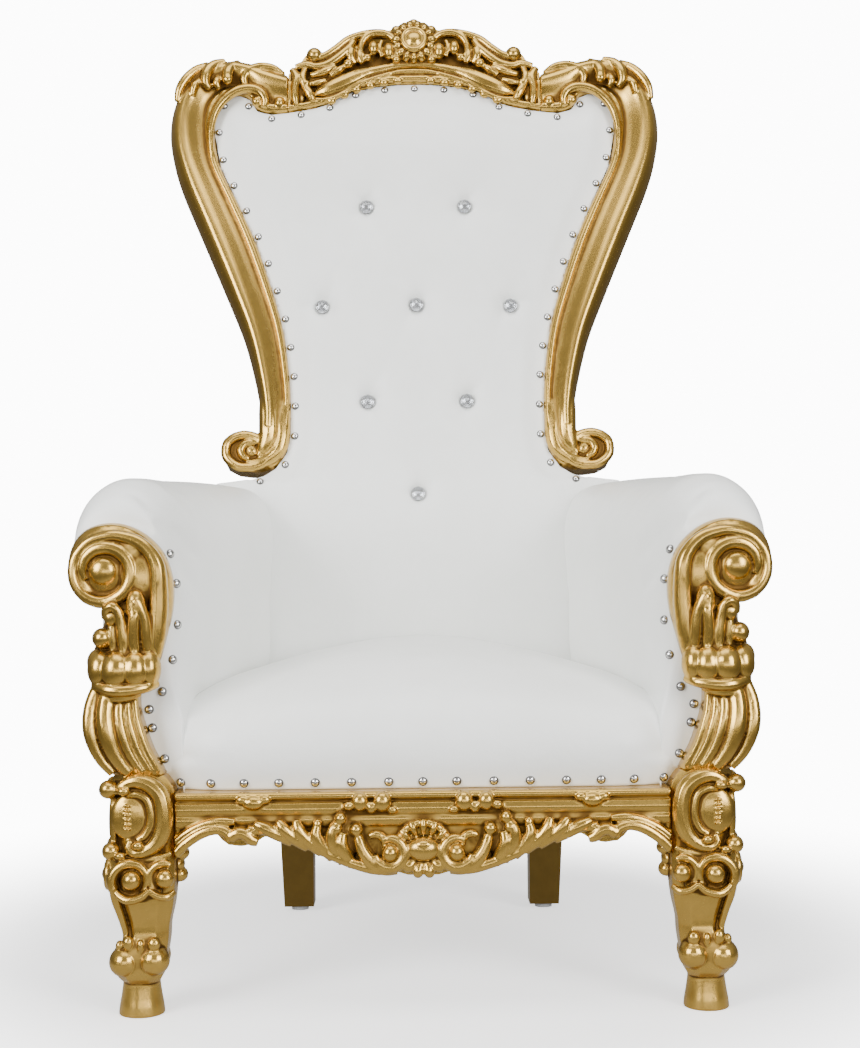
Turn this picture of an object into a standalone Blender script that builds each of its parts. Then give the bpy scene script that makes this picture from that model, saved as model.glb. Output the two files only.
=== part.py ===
"""A high-backed ceremonial throne: a carved gilt frame with white upholstery and crystal buttons.

Metres, +Z up, +X to the viewer's right, the front of the throne towards -Y.
The origin is on the floor under the middle of the throne.
Carved pieces are drawn at their own scale in drawing units, 1 unit being 1 mm at the real size, and
each is scaled by the named size that it has to fill.
"""
import math

import bmesh
import bpy
from mathutils import Matrix, Vector

GAP = 0.0003                     # clearance that touching pieces keep

# Front legs and the floor plan of the seat frame
LEG_HEIGHT = 0.312               # floor to the joint under the arm front
LEG_SPACING = 0.730              # between the axes of the two front legs
LEG_AXIS_Y = -0.3375
LEG_DRAWN = 312                  # height of the leg in drawing units
LEG_INNER = 47                   # drawing units from the leg's axis to its inner face
BACK_LEG_SPACING = 0.402
BACK_LEG_FOOT_Y = 0.2425         # where a back leg stands
BACK_LEG_TOP_Y = 0.1575          # where it meets the seat frame: the leg rakes backwards
BACK_LEG_FOOT = 0.048            # side of the square foot
BACK_LEG_TOP = 0.060             # side of the square top
GLIDE_RADIUS = 0.014
GLIDE_HEIGHT = 0.008

# Seat frame
RAIL_TOP = 0.285
FRONT_RAIL_FACE_Y = -0.3605
FRONT_RAIL_THICK = 0.050
FRONT_RAIL_DROP = 0.112          # top of the rail to the lowest point of its apron
SIDE_RAIL_THICK = 0.036
SIDE_RAIL_DEPTH = 0.066
BACK_RAIL_DEPTH = 0.062
BACK_RAIL_THICK = 0.050

# Arms
ARM_FACE_Y = -0.3275             # back of the carved arm front, front of the upholstery
ARM_FRONT_HEIGHT = 0.319
ARM_FRONT_DRAWN = 319
ARM_TOP = 0.703                  # top of the rolled arm at its middle
ARM_ROLL = 0.071                 # radius of the roll
ARM_WALL_FRONT = 0.098           # thickness under the roll, at the front
ARM_WALL_BACK = 0.040
ARM_LENGTH = 0.530
SEAT_HALF_FRONT = LEG_SPACING / 2 - LEG_INNER * LEG_HEIGHT / LEG_DRAWN    # half the width between the arms, at the front
SEAT_HALF_BACK = 0.238           # and at the back

# Seat
SEAT_FRONT_Y = -0.3545
SEAT_EDGE = 0.412                # height where the seat meets the arms
SEAT_CROWN = 0.050               # rise of the crowned seat above that
SEAT_DEPTH = 0.560

# Back: everything is drawn upright, then tilted about the floor line at BACK_HINGE_Y
BACK_RAKE = math.radians(11.1)
BACK_HINGE_Y = 0.0442
BACK_TALL = 1.528                # floor to the tip of the crest, along the slope
BACK_DRAWN = 1528
CUSHION_THICK = 0.045
CUSHION_CROWN = 0.020
PANEL_THICK = 0.0145
BUTTON_SINK = 0.013              # depth of a tuft
BUTTON_SPREAD = 0.046
CRYSTAL_RADIUS = 0.0105

GILT = ("gilt", (0.66, 0.45, 0.17), 0.30, 0.9)
LEATHER = ("leather", (0.87, 0.87, 0.85), 0.42, 0.0)
CRYSTAL = ("crystal", (0.86, 0.88, 0.90), 0.05, 0.6)
GLIDE = ("glide", (0.42, 0.43, 0.44), 0.45, 0.0)

FRONT = Vector((0, -1, 0))
CARVING_SHARE = 0.48             # faces kept where carved forms run into each other


def clear_scene():
    for obj in list(bpy.data.objects):
        bpy.data.objects.remove(obj)


def material(finish):
    name, colour, roughness, metallic = finish
    found = bpy.data.materials.get(name)
    if found:
        return found
    made = bpy.data.materials.new(name)
    made.use_nodes = True
    shader = made.node_tree.nodes["Principled BSDF"]
    shader.inputs["Base Color"].default_value = (*colour, 1)
    shader.inputs["Roughness"].default_value = roughness
    shader.inputs["Metallic"].default_value = metallic
    return made


def node(name, mesh, finish):
    obj = bpy.data.objects.new(name, mesh)
    bpy.context.scene.collection.objects.link(obj)
    mesh.materials.clear()
    mesh.materials.append(material(finish))
    return obj


def mesh_of(bm):
    bmesh.ops.recalc_face_normals(bm, faces=bm.faces)
    mesh = bpy.data.meshes.new("piece")
    bm.to_mesh(mesh)
    bm.free()
    return mesh


# Shapes that the carving is made of

def curve(points, steps=3):
    """A smooth run through control points of any dimension, with steps points for each span."""
    if steps < 2:
        return [tuple(p) for p in points]
    ends = [points[0], *points, points[-1]]
    found = []
    for a, b, c, d in zip(ends, ends[1:], ends[2:], ends[3:]):
        for i in range(steps):
            t = i / steps
            found.append(tuple(
                0.5 * (2 * q + (r - p) * t + (2 * p - 5 * q + 4 * r - s) * t * t
                       + (3 * q - p - 3 * r + s) * t ** 3)
                for p, q, r, s in zip(a, b, c, d)))
    return [*found, tuple(points[-1])]


def loft(rings):
    """A closed body through rings of equally many points."""
    bm = bmesh.new()
    rows = [[bm.verts.new(p) for p in ring] for ring in rings]
    count = len(rows[0])
    for low, high in zip(rows, rows[1:]):
        for i in range(count):
            j = (i + 1) % count
            bm.faces.new((low[i], low[j], high[j], high[i]))
    bm.faces.new(list(reversed(rows[0])))
    bm.faces.new(rows[-1])
    return mesh_of(bm)


def ridge(path, sides=5, flat=1.0, face=FRONT):
    """A carved ridge: a round section swept along (x, y, z, radius) points."""
    points = [Vector(p[:3]) for p in path]
    last = len(points) - 1
    rings = []
    for i, point in enumerate(points):
        along = (points[min(i + 1, last)] - points[max(i - 1, 0)]).normalized()
        across = along.cross(face).normalized()
        out = across.cross(along)
        radius = path[i][3]
        rings.append([point + radius * (across * math.cos(a) + out * flat * math.sin(a))
                      for a in (math.tau * (k + 0.5) / sides for k in range(sides))])
    return loft(rings)


def boss(centre, radii, sides=6, rings=4):
    """A domed bead."""
    bm = bmesh.new()
    bmesh.ops.create_uvsphere(bm, u_segments=sides, v_segments=rings, radius=1)
    bmesh.ops.rotate(bm, verts=bm.verts, matrix=Matrix.Rotation(math.pi / 2, 3, "X"))
    bmesh.ops.scale(bm, verts=bm.verts, vec=radii)
    bmesh.ops.translate(bm, verts=bm.verts, vec=centre)
    return mesh_of(bm)


def slab(outline, y_front, y_back):
    """An (x, z) outline cut from a board."""
    return loft([[(x, y_front, z) for x, z in outline], [(x, y_back, z) for x, z in outline]])


def block(low, high):
    (x0, y0, z0), (x1, y1, z1) = low, high
    return slab([(x0, z0), (x1, z0), (x1, z1), (x0, z1)], y0, y1)


def turned(profile, centre, sides=12):
    """A turned body from (radius, z) points."""
    angles = [math.tau * k / sides for k in range(sides)]
    return loft([[(centre[0] + r * math.cos(a), centre[1] + r * math.sin(a), z) for a in angles]
                 for r, z in profile])


def spiral(centre, stops, y, step=30):
    """Points of a scroll from (angle in degrees, distance, thickness) stops, about an (x, z) centre."""
    path = []
    for (a0, d0, r0), (a1, d1, r1) in zip(stops, stops[1:]):
        count = max(1, round(abs(a1 - a0) / step))
        for i in range(count):
            t = i / count
            a, d, r = (p + (q - p) * t for p, q in ((a0, a1), (d0, d1), (r0, r1)))
            path.append((a, d, r))
    path.append(stops[-1])
    return [(centre[0] + d * math.cos(math.radians(a)), y, centre[1] + d * math.sin(math.radians(a)), r)
            for a, d, r in path]


def run(points, y, steps=3):
    """Points of a ridge from (x, z, thickness) control points at one depth."""
    return [(x, y, z, r) for x, z, r in curve(points, steps)]


def scaled(mesh, unit, origin=(0, 0, 0)):
    """A mesh drawn in drawing units, brought to metres and to its place."""
    mesh.transform(Matrix.Translation(origin) @ Matrix.Diagonal((*unit, 1)))
    return mesh


def mirrored(mesh):
    """The same piece for the other side of the throne."""
    copy = mesh.copy()
    copy.transform(Matrix.Diagonal((-1, 1, 1, 1)))
    copy.flip_normals()
    return copy


def combine(meshes, operation="UNION"):
    """One body: the first mesh joined with the others, or cut by them."""
    scene = bpy.context.scene.collection
    helpers = bpy.data.collections.new("helpers")
    scene.children.link(helpers)
    body = bpy.data.objects.new("body", meshes[0])
    scene.objects.link(body)
    for mesh in meshes[1:]:
        helpers.objects.link(bpy.data.objects.new("helper", mesh))
    modifier = body.modifiers.new("combine", "BOOLEAN")
    modifier.operation = operation
    modifier.solver = "EXACT"
    modifier.use_self = operation == "UNION"
    modifier.operand_type = "COLLECTION"
    modifier.collection = helpers
    graph = bpy.context.evaluated_depsgraph_get()
    result = bpy.data.meshes.new_from_object(body.evaluated_get(graph))
    for obj in [body, *helpers.objects]:
        bpy.data.objects.remove(obj)
    bpy.data.collections.remove(helpers)
    return result


def union(meshes):
    """The pieces of a carving as one body, with the small faces along their seams thinned out."""
    carving = bpy.data.objects.new("carving", combine(meshes))
    bpy.context.scene.collection.objects.link(carving)
    modifier = carving.modifiers.new("thin", "DECIMATE")
    modifier.ratio = CARVING_SHARE
    graph = bpy.context.evaluated_depsgraph_get()
    result = bpy.data.meshes.new_from_object(carving.evaluated_get(graph))
    bpy.data.objects.remove(carving)
    return result


def cut(mesh, *cutters):
    return combine([mesh, *cutters], "DIFFERENCE")


# Front leg: bell foot, scroll toes, cabriole shaft, knee scrolls and a cartouche block

LEG_SECTIONS = (                  # z, inner x, outer x, front y, back y
    (42, -24, 24, -24, 24),
    (54, -31, 36, -34, 30),
    (80, -34, 37, -38, 32),
    (98, -38, 26, -32, 30),
    (116, -39, 26, -30, 30),
    (140, -43, 33, -38, 34),
    (168, -46, 39, -45, 38),
    (192, -47, 40, -46, 40),
    (206, -46, 35, -42, 41),
    (LEG_DRAWN, -46, 36, -42, 43),
)


LEG_CORNER = 0.28                 # chamfer of the shaft as a share of its width


def rounded_section(z, x0, x1, y0, y1):
    """A rectangle with chamfered corners, as eight points."""
    cx, cy = LEG_CORNER * (x1 - x0), LEG_CORNER * (y1 - y0)
    return [(x0 + cx, y0, z), (x1 - cx, y0, z), (x1, y0 + cy, z), (x1, y1 - cy, z),
            (x1 - cx, y1, z), (x0 + cx, y1, z), (x0, y1 - cy, z), (x0, y0 + cy, z)]


def front_leg():
    foot = turned([(29.5, 0), (28.5, 9), (24, 36), (24, 50)], (0, 0))
    shaft = loft([rounded_section(*s) for s in LEG_SECTIONS])
    toes = [boss(c, (r, r, r)) for c, r in (((21, -22, 72), 22), ((-17, -24, 74), 20), ((21, 16, 70), 21))]
    outer_scroll = ridge(spiral((10, 180), [(200, 16, 3), (90, 19, 6), (-20, 19, 5), (-130, 17, 4)], -46, 36), flat=1.3)
    inner_scroll = ridge(spiral((-36, 183), [(-20, 15, 3), (90, 15, 5), (190, 12, 4), (280, 15, 4)], -45, 38), flat=1.3)
    eyes = [boss(c, (r, 13, r)) for c, r in (((8, -47, 180), 11), ((-35, -46, 184), 10))]
    cartouche = ridge(run([(24, 303, 4), (-4, 306, 7), (-28, 296, 8), (-38, 268, 8), (-36, 240, 8),
                           (-22, 218, 8), (4, 212, 6), (18, 222, 4)], -41, 2), flat=1.2)
    shield = boss((3, -38, 260), (25, 10, 28), 8)
    beads = [boss((x, y, z), (11, 11, 11)) for x, y, z in
             ((38, -30, 296), (34, -34, 218), (-42, 20, 203), (-42, 20, 176))]
    side_scroll = boss((39, -6, 180), (9, 20, 18))
    return union([shaft, foot, *toes, outer_scroll, inner_scroll, *eyes, cartouche, shield, *beads, side_scroll])


def add_front_legs():
    unit = LEG_HEIGHT / LEG_DRAWN
    right = scaled(front_leg(), (unit,) * 3, (LEG_SPACING / 2, LEG_AXIS_Y, 0))
    inner = LEG_INNER * unit
    right = cut(right, block((0, -1, LEG_HEIGHT), (1, 1, 1)), block((0, -1, -1), (LEG_SPACING / 2 - inner, 1, 1)),
                block((0, LEG_AXIS_Y + inner, -1), (1, 1, 1)))
    node("front_leg_right", right, GILT)
    node("front_leg_left", mirrored(right), GILT)


# Arm front: reeded S, gadrooned cup, stem with a leaf, and the big scroll

ARM_SECTIONS = (                  # z, inner x, outer x, depth
    (0, -30, 42, 50),
    (14, -24, 54, 54),
    (30, -16, 63, 57),
    (50, -9, 69, 58),
    (70, -3, 70, 56),
    (90, 0, 66, 50),
    (108, -2, 58, 46),
)
ARM_STEM = ((-6, 108), (58, 108), (60, 150), (50, 184), (40, 212), (52, 214), (72, 223), (84, 242),
            (87, 265), (83, 289), (68, 308), (46, 318), (20, 317), (-8, 303), (-30, 279), (-42, 246),
            (-42, 208), (-33, 170), (-22, 134))


def arm_front():
    def section(z, x0, x1, depth):
        flat = 0.26 * (x1 - x0)
        return [(x0, 0, z), (x0, -0.55 * depth, z), (x0 + flat, -0.93 * depth, z), (x0 + 2 * flat, -depth, z),
                (x1 - 0.4 * flat, -0.80 * depth, z), (x1, -0.42 * depth, z), (x1, 0, z)]

    def reed(share, thick):
        return ridge([(x0 + share * (x1 - x0), (0.02 - 0.96 + 0.10 * abs(share - 0.5)) * depth, z, thick)
                      for z, x0, x1, depth in ARM_SECTIONS], 5)

    lower = loft([section(*s) for s in ARM_SECTIONS])
    stem = slab(ARM_STEM, -30, 0)
    band = ridge(run([(-9, 125, 13), (-17, 152, 16), (-22, 182, 18), (-24, 214, 19), (-20, 249, 18), (-4, 281, 17),
                      (26, 301, 14), (58, 296, 12), (75, 269, 11), (69, 243, 10), (49, 230, 9), (28, 237, 8),
                      (20, 254, 7), (26, 273, 6), (38, 280, 5)], -32, 2), 6)
    eye = boss((40, -36, 259), (15, 16, 15), 8)
    cup = [boss((x, y, 132), (13, 20, 23)) for x, y in ((-13, -32), (6, -42), (27, -42), (46, -34))]
    rim = ridge(run([(-21, 148, 4), (-6, 153, 6), (16, 154, 6), (40, 151, 6), (54, 144, 4)], -46, 1), 5)
    leaves = [ridge(run(path, -32, 2), 5) for path in (
        ((6, 152, 8), (8, 186, 9), (6, 215, 7)),
        ((24, 152, 7), (25, 184, 8), (28, 206, 6)))]
    curl = boss((36, -34, 202), (11, 11, 11))
    beads = [boss((46, -28, 170), (13, 14, 13)), boss((53, -28, 140), (12, 14, 14))]
    return union([lower, reed(0.24, 7), reed(0.52, 9), reed(0.80, 7), stem, band, eye, *cup, rim, *leaves, curl,
                  *beads])


def add_arm_fronts():
    unit = ARM_FRONT_HEIGHT / ARM_FRONT_DRAWN
    right = scaled(arm_front(), (unit,) * 3, (LEG_SPACING / 2, ARM_FACE_Y, LEG_HEIGHT + GAP))
    right = cut(right, block((0, -1, 0), (1, 0, LEG_HEIGHT + GAP)), block((0, ARM_FACE_Y, 0), (1, 1, 1)))
    node("arm_front_right", right, GILT)
    node("arm_front_left", mirrored(right), GILT)


# Front rail: moulded top edge and a carved apron with acanthus, C-scrolls and a shell
# Drawn with x from the middle of the throne, y inwards from the plain face and z down from the top

RAIL_DRAWN = 322                  # half the length of the rail in drawing units
APRON_DRAWN = 112
APRON = ((322, -85), (306, -69), (286, -56), (269, -52), (261, -61), (253, -67), (236, -69), (220, -66),
         (206, -57), (190, -59), (168, -66), (146, -76), (120, -87), (90, -99), (60, -106), (34, -104))
LEAVES = (                        # root, belly and tip of each acanthus leaf
    ((84, -88), (100, -60), (110, -34)),
    ((104, -84), (120, -62), (132, -40)),
    ((124, -78), (144, -58), (160, -32)),
    ((148, -68), (168, -52), (188, -32)),
    ((176, -60), (196, -48), (214, -40)),
    ((222, -62), (244, -50), (272, -44)),
)


def both_sides(mesh):
    """The drawn half and its reflection."""
    return [mesh, mirrored(mesh)]


def front_rail():
    left = [(-x, z) for x, z in reversed(APRON)]
    board = slab([(RAIL_DRAWN, 0), *APRON, *left, (-RAIL_DRAWN, 0)], 0, 50)
    moulding = ridge([(-RAIL_DRAWN, 1, -9, 8), (RAIL_DRAWN, 1, -9, 8)], 6)
    bead = ridge([(-RAIL_DRAWN, 0, -22, 4), (RAIL_DRAWN, 0, -22, 4)], 5)
    edge = ridge(run([(322, -76, 7), (296, -54, 7), (266, -44, 7), (228, -48, 6), (190, -54, 6), (150, -66, 6),
                      (110, -82, 6)], -1, 1), 5)
    leaves = [ridge([(a[0], -1, a[1], 5), (b[0], -5, b[1], 7), (c[0], -2, c[1], 3)], 5) for a, b, c in LEAVES]
    scroll = ridge(spiral((60, -78), [(130, 24, 4), (190, 25, 6), (270, 24, 7), (350, 25, 6), (400, 20, 4)], -4, 35))
    details = [boss(c, r) for c, r in (
        ((54, -4, -78), (15, 11, 10)), ((40, -2, -60), (9, 8, 9)), ((53, -4, -13), (11, 10, 12)),
        ((82, -4, -13), (11, 10, 12)), ((220, -3, -12), (13, 8, 9)), ((238, -3, -61), (15, 9, 9)),
        ((92, -3, -44), (9, 8, 8)))]
    half = [edge, *leaves, scroll, *details]
    petals = [ridge([(12 * math.cos(a), -4, -74 + 12 * math.sin(a), 5),
                     (24 * math.cos(a), -5, -74 + 24 * math.sin(a), 8),
                     (33 * math.cos(a), -1, -74 + 33 * math.sin(a), 5)], 5)
              for a in (math.radians(d) for d in range(-90, 270, 36))]
    shell = boss((0, -8, -73), (17, 14, 17), 8)
    return union([board, moulding, bead, *(m for piece in half for m in both_sides(piece)), *petals, shell])


def add_front_rail():
    half = LEG_SPACING / 2 - LEG_INNER * LEG_HEIGHT / LEG_DRAWN - GAP
    size = (half / RAIL_DRAWN, FRONT_RAIL_THICK / 50, FRONT_RAIL_DROP / APRON_DRAWN)
    rail = scaled(front_rail(), size, (0, FRONT_RAIL_FACE_Y, RAIL_TOP))
    rail = cut(rail, block((half, -1, 0), (1, 1, 1)), block((-1, -1, 0), (-half, 1, 1)),
               block((-1, -1, RAIL_TOP), (1, 1, 1)))
    node("front_rail", rail, GILT)


# The plainer back and sides of the seat frame

def back_leg(grow=0.0):
    """The right back leg, or the space that it takes."""
    def square(half, y, z):
        x = BACK_LEG_SPACING / 2
        return [(x - half, y - half, z), (x + half, y - half, z), (x + half, y + half, z), (x - half, y + half, z)]
    return loft([square(BACK_LEG_FOOT / 2 + grow, BACK_LEG_FOOT_Y, GLIDE_HEIGHT + GAP),
                 square(BACK_LEG_TOP / 2 + grow, BACK_LEG_TOP_Y, RAIL_TOP + grow)])


def side_rail():
    """The right side rail, following the arm above it, with an arched lower edge."""
    start = Vector((SEAT_HALF_FRONT + 2 * SIDE_RAIL_THICK, LEG_AXIS_Y))
    end = Vector((BACK_LEG_SPACING / 2 + 0.47 * BACK_LEG_TOP, BACK_LEG_TOP_Y))
    side = Vector((end.y - start.y, start.x - end.x)).normalized() * SIDE_RAIL_THICK / 2
    rings = []
    for share in (0, 0.12, 0.24, 0.40, 0.56, 0.72, 0.86, 1):
        here = start.lerp(end, share)
        low = RAIL_TOP - SIDE_RAIL_DEPTH + 0.026 * math.sin(math.pi * min(1, max(0, (share - 0.06) / 0.9))) ** 0.7
        rings.append([(here.x - side.x, here.y - side.y, RAIL_TOP), (here.x - side.x, here.y - side.y, low),
                      (here.x + side.x, here.y + side.y, low), (here.x + 1.35 * side.x, here.y + 1.35 * side.y, low + 0.006),
                      (here.x + 1.35 * side.x, here.y + 1.35 * side.y, low + 0.014),
                      (here.x + side.x, here.y + side.y, low + 0.020), (here.x + side.x, here.y + side.y, RAIL_TOP - 0.018),
                      (here.x + 1.35 * side.x, here.y + 1.35 * side.y, RAIL_TOP - 0.012),
                      (here.x + 1.35 * side.x, here.y + 1.35 * side.y, RAIL_TOP)])
    return loft(rings)


def add_frame():
    leg_back = LEG_AXIS_Y + LEG_INNER * LEG_HEIGHT / LEG_DRAWN + GAP
    rail = cut(side_rail(), block((0, -1, 0), (1, leg_back, 1)), back_leg(GAP))
    rail = cut(rail, block((0, BACK_LEG_TOP_Y, 0), (BACK_LEG_SPACING / 2 + BACK_LEG_TOP / 2, 1, 1)))
    node("side_rail_right", rail, GILT)
    node("side_rail_left", mirrored(rail), GILT)
    leg = back_leg()
    node("back_leg_right", leg, GILT)
    node("back_leg_left", mirrored(leg), GILT)
    low = RAIL_TOP - BACK_RAIL_DEPTH
    span = BACK_LEG_SPACING / 2
    end = span - BACK_LEG_TOP / 2 - GAP
    bar = slab([(-end, RAIL_TOP), (-end, low), (-0.6 * end, low + 0.014), (0, low + 0.020), (0.6 * end, low + 0.014),
                (end, low), (end, RAIL_TOP)], BACK_LEG_TOP_Y - BACK_RAIL_THICK / 2, BACK_LEG_TOP_Y + BACK_RAIL_THICK / 2)
    node("back_rail", bar, GILT)
    glide = turned([(GLIDE_RADIUS, 0), (GLIDE_RADIUS, GLIDE_HEIGHT)], (span, BACK_LEG_FOOT_Y), 16)
    node("glide_right", glide, GLIDE)
    node("glide_left", mirrored(glide), GLIDE)


# Back: outlines drawn upright with x from the middle and the height from the floor line

POST_STATIONS = (                 # outer x and height, inner x and height
    (258, 806, 207, 800), (258, 836, 207, 834), (267, 888, 209, 889), (287, 963, 220, 973),
    (321, 1049, 241, 1050), (361, 1145, 267, 1127), (397, 1233, 296, 1194), (412, 1290, 328, 1263),
    (416, 1330, 339, 1325), (411, 1370, 338, 1358), (395, 1407, 331, 1378), (361, 1443, 315, 1391),
    (315, 1457, 297, 1393), (285, 1455, 281, 1386), (262, 1450, 267, 1363), (240, 1441, 243, 1356),
    (215.3, 1430, 215.3, 1359),
)
POST_PROFILE = (                  # share of the width from the inner edge, y
    (0, -4), (0.05, -12), (0.12, -8), (0.28, -11), (0.42, -17), (0.55, -23), (0.68, -26), (0.82, -23),
    (0.93, -14), (1.0, 2), (1.0, 44), (0.90, 60), (0, 60),
)
POST_JOINT = 215.3                # x of the joint between post and crest
JOINT_FOOT = 1340
VOLUTE = (279, 765)
CREST_TOP = ((215, 1431), (207, 1441), (196, 1452), (186, 1470), (172, 1474), (161, 1459), (150, 1466),
             (124, 1484), (108, 1499), (90, 1508), (70, 1510), (54, 1505), (44, 1517), (20, 1525), (0, 1528))
CREST_FOOT = ((0, 1412), (26, 1412), (63, 1408), (105, 1399), (126, 1388), (146, 1375), (166, 1368), (189, 1363),
              (215, 1359))
CUSHION_LOW = ((275, 291), (275, 430), (275, 570), (300, 610), (340, 640), (345, 700), (325, 714), (300, 717))
CUSHION_POST = ((269, 721), (249, 727), (230, 740), (213, 765), (207, 800), (207, 834), (209, 889), (220, 973),
                (241, 1050), (267, 1127), (296, 1194), (328, 1263), (339, 1325), (338, 1358), (331, 1378),
                (315, 1391), (297, 1393), (281, 1386), (267, 1363), (243, 1356), (215, 1359), (189, 1363),
                (166, 1368), (146, 1375), (126, 1388), (105, 1399), (63, 1408), (26, 1412), (0, 1412))
CRYSTALS = ((-82, 1186), (82, 1186), (-156, 1013), (0, 1013), (156, 1013), (-81, 848), (81, 848), (0, 693))


def back_unit():
    return BACK_TALL / BACK_DRAWN


def tilt():
    return Matrix.Translation((0, BACK_HINGE_Y, 0)) @ Matrix.Rotation(-BACK_RAKE, 4, "X")


def add_back(name, mesh, finish):
    """A piece of the back, hung on the rake."""
    node(name, mesh, finish).matrix_world = tilt()


def above_frame():
    """A cutter, in the back's own frame, that leaves what stands above the seat frame."""
    cutter = block((-1, -1, -1), (1, 1, RAIL_TOP + GAP))
    cutter.transform(tilt().inverted())
    return cutter


def back_outline(shrink=0.0):
    """The edge of the upholstered back, as metres; shrink is the clearance to the gilt frame."""
    half = [*CUSHION_LOW, *CUSHION_POST]
    points = [Vector(p) * back_unit() for p in [*half, *((-x, z) for x, z in reversed(half[:-1]))]]
    count = len(points)
    found = []
    for i, point in enumerate(points):
        along = (points[(i + 1) % count] - points[i - 1]).normalized()
        found.append(tuple(point - shrink * Vector((along.y, -along.x))))
    return found


def back_post():
    rings = [[(xi + t * (xo - xi), y, zi + t * (zo - zi)) for t, y in POST_PROFILE] for xo, zo, xi, zi in POST_STATIONS]
    stem = loft(rings)
    turn = ridge(spiral(VOLUTE, [(140, 53, 16), (168, 52, 17), (204, 43, 13), (250, 35, 11), (360, 35, 10),
                                 (450, 33, 9), (540, 25, 8), (610, 20, 6)], -6, 32), 6)
    x, z = VOLUTE
    disc = slab([(x + r * math.cos(math.radians(a)), z + r * math.sin(math.radians(a))) for a, r in
                 ((-90, 43), (-60, 43), (-30, 43), (0, 43), (30, 43), (60, 42), (90, 41), (120, 46), (150, 66),
                  (168, 66), (190, 60), (215, 52), (240, 45))], -6, 60)
    eye = boss((x + 3, -10, z + 2), (16, 15, 16), 8)
    leaves = [ridge(path, 5) for path in (
        ((222, -12, 1424, 5), (255, -18, 1432, 9), (283, -18, 1426, 9), (288, -14, 1408, 5)),
        ((226, -10, 1376, 6), (243, -14, 1392, 9), (262, -14, 1398, 8)),
        ((300, -16, 1447, 7), (317, -22, 1423, 10), (329, -16, 1399, 6)),
        ((330, -16, 1444, 8), (350, -26, 1420, 11), (358, -20, 1396, 6)),
        ((362, -18, 1424, 8), (380, -24, 1400, 9), (390, -16, 1376, 5)))]
    return union([stem, disc, turn, eye, *leaves])


def crest_rail():
    top = [*CREST_TOP, *((-x, z) for x, z in reversed(CREST_TOP[:-1]))]
    foot = [*((-x, z) for x, z in reversed(CREST_FOOT)), *CREST_FOOT[1:]]
    board = slab([*top, *foot], -8, 60)
    pad = ridge(run([(178, 1377, 10), (150, 1390, 17), (118, 1406, 17), (84, 1424, 14), (48, 1434, 9)], -10, 2), 6)
    lip = ridge([(x, -8, z + 6, 5) for x, z in CREST_FOOT], 5)
    horseshoe = ridge(spiral((64, 1474), [(-58, 28, 3), (0, 29, 6), (90, 30, 6), (180, 29, 6), (238, 30, 3)], -14, 30))
    swan = ridge(run([(178, 1464, 10), (158, 1463, 7), (128, 1480, 7), (104, 1499, 6), (76, 1507, 5)], -12, 2))
    stem = ridge(run([(196, 1440, 7), (160, 1436, 8), (132, 1452, 7), (104, 1470, 7), (98, 1446, 5)], -10, 1))
    husk = ridge(run([(205, 1450, 6), (198, 1428, 8), (208, 1404, 8), (200, 1376, 6)], -12, 2))
    beads = [boss(c, r) for c, r in (
        ((177, -14, 1463), (13, 14, 13)), ((122, -18, 1443), (11, 11, 11)), ((184, -14, 1420), (10, 10, 9)),
        ((73, -16, 1480), (9, 11, 9)), ((53, -16, 1470), (9, 11, 11)), ((41, -10, 1511), (9, 9, 12)),
        ((34, -8, 1448), (10, 10, 8)))]
    half = [pad, lip, horseshoe, swan, stem, husk, *beads]
    petals = [boss((31 * math.cos(a), -14, 1486 + 31 * math.sin(a)), (11, 10, 11)) for a in
              (math.radians(d) for d in range(-90, 270, 36))]
    dome = boss((0, -22, 1486), (22, 18, 22), 10)
    return union([board, *(m for piece in half for m in both_sides(piece)), *petals, dome])


def add_posts_and_crest():
    unit = back_unit()
    soft = slab(back_outline(-GAP), -1, 1)
    post = cut(scaled(back_post(), (unit,) * 3), soft, block((-1, -1, JOINT_FOOT * unit), (POST_JOINT * unit, 1, 2)))
    add_back("back_post_right", post, GILT)
    add_back("back_post_left", mirrored(post), GILT)
    soft = slab(back_outline(-GAP), -1, 1)
    side = POST_JOINT * unit - GAP
    crest = cut(scaled(crest_rail(), (unit,) * 3), soft, block((side, -1, 0), (1, 1, 2)), block((-1, -1, 0), (-side, 1, 2)))
    add_back("crest_rail", crest, GILT)


# Upholstery of the back: a crowned cushion with sunk crystal buttons on a flat panel

ARM_LINE = 727                    # below this height the arms stand before the sides of the back
BETWEEN_ARMS = 222


def inner_width(height):
    """Half the width of the upholstered back at a height, in drawing units."""
    side = [*CUSHION_LOW, *CUSHION_POST[:CUSHION_POST.index((339, 1325)) + 1]]
    for (x0, z0), (x1, z1) in zip(side, side[1:]):
        if z0 <= height < z1:
            return x0 + (x1 - x0) * (height - z0) / (z1 - z0)
    return side[0][0] if height < side[0][1] else side[-1][0]


def smooth(share):
    share = min(1.0, max(0.0, share))
    return share * share * (3 - 2 * share)


def crown(x, z):
    """How far the back swells forward at a point of its drawing, in metres."""
    reach = inner_width(z) + 6 if z > ARM_LINE else BETWEEN_ARMS
    across = max(0.0, 1 - (abs(x) / reach) ** 2.4)
    return CUSHION_CROWN * across * smooth((z - 480) / 220) * smooth((1425 - z) / 150)


def button_seat(x, z):
    return BUTTON_SINK - crown(x, z)


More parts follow.
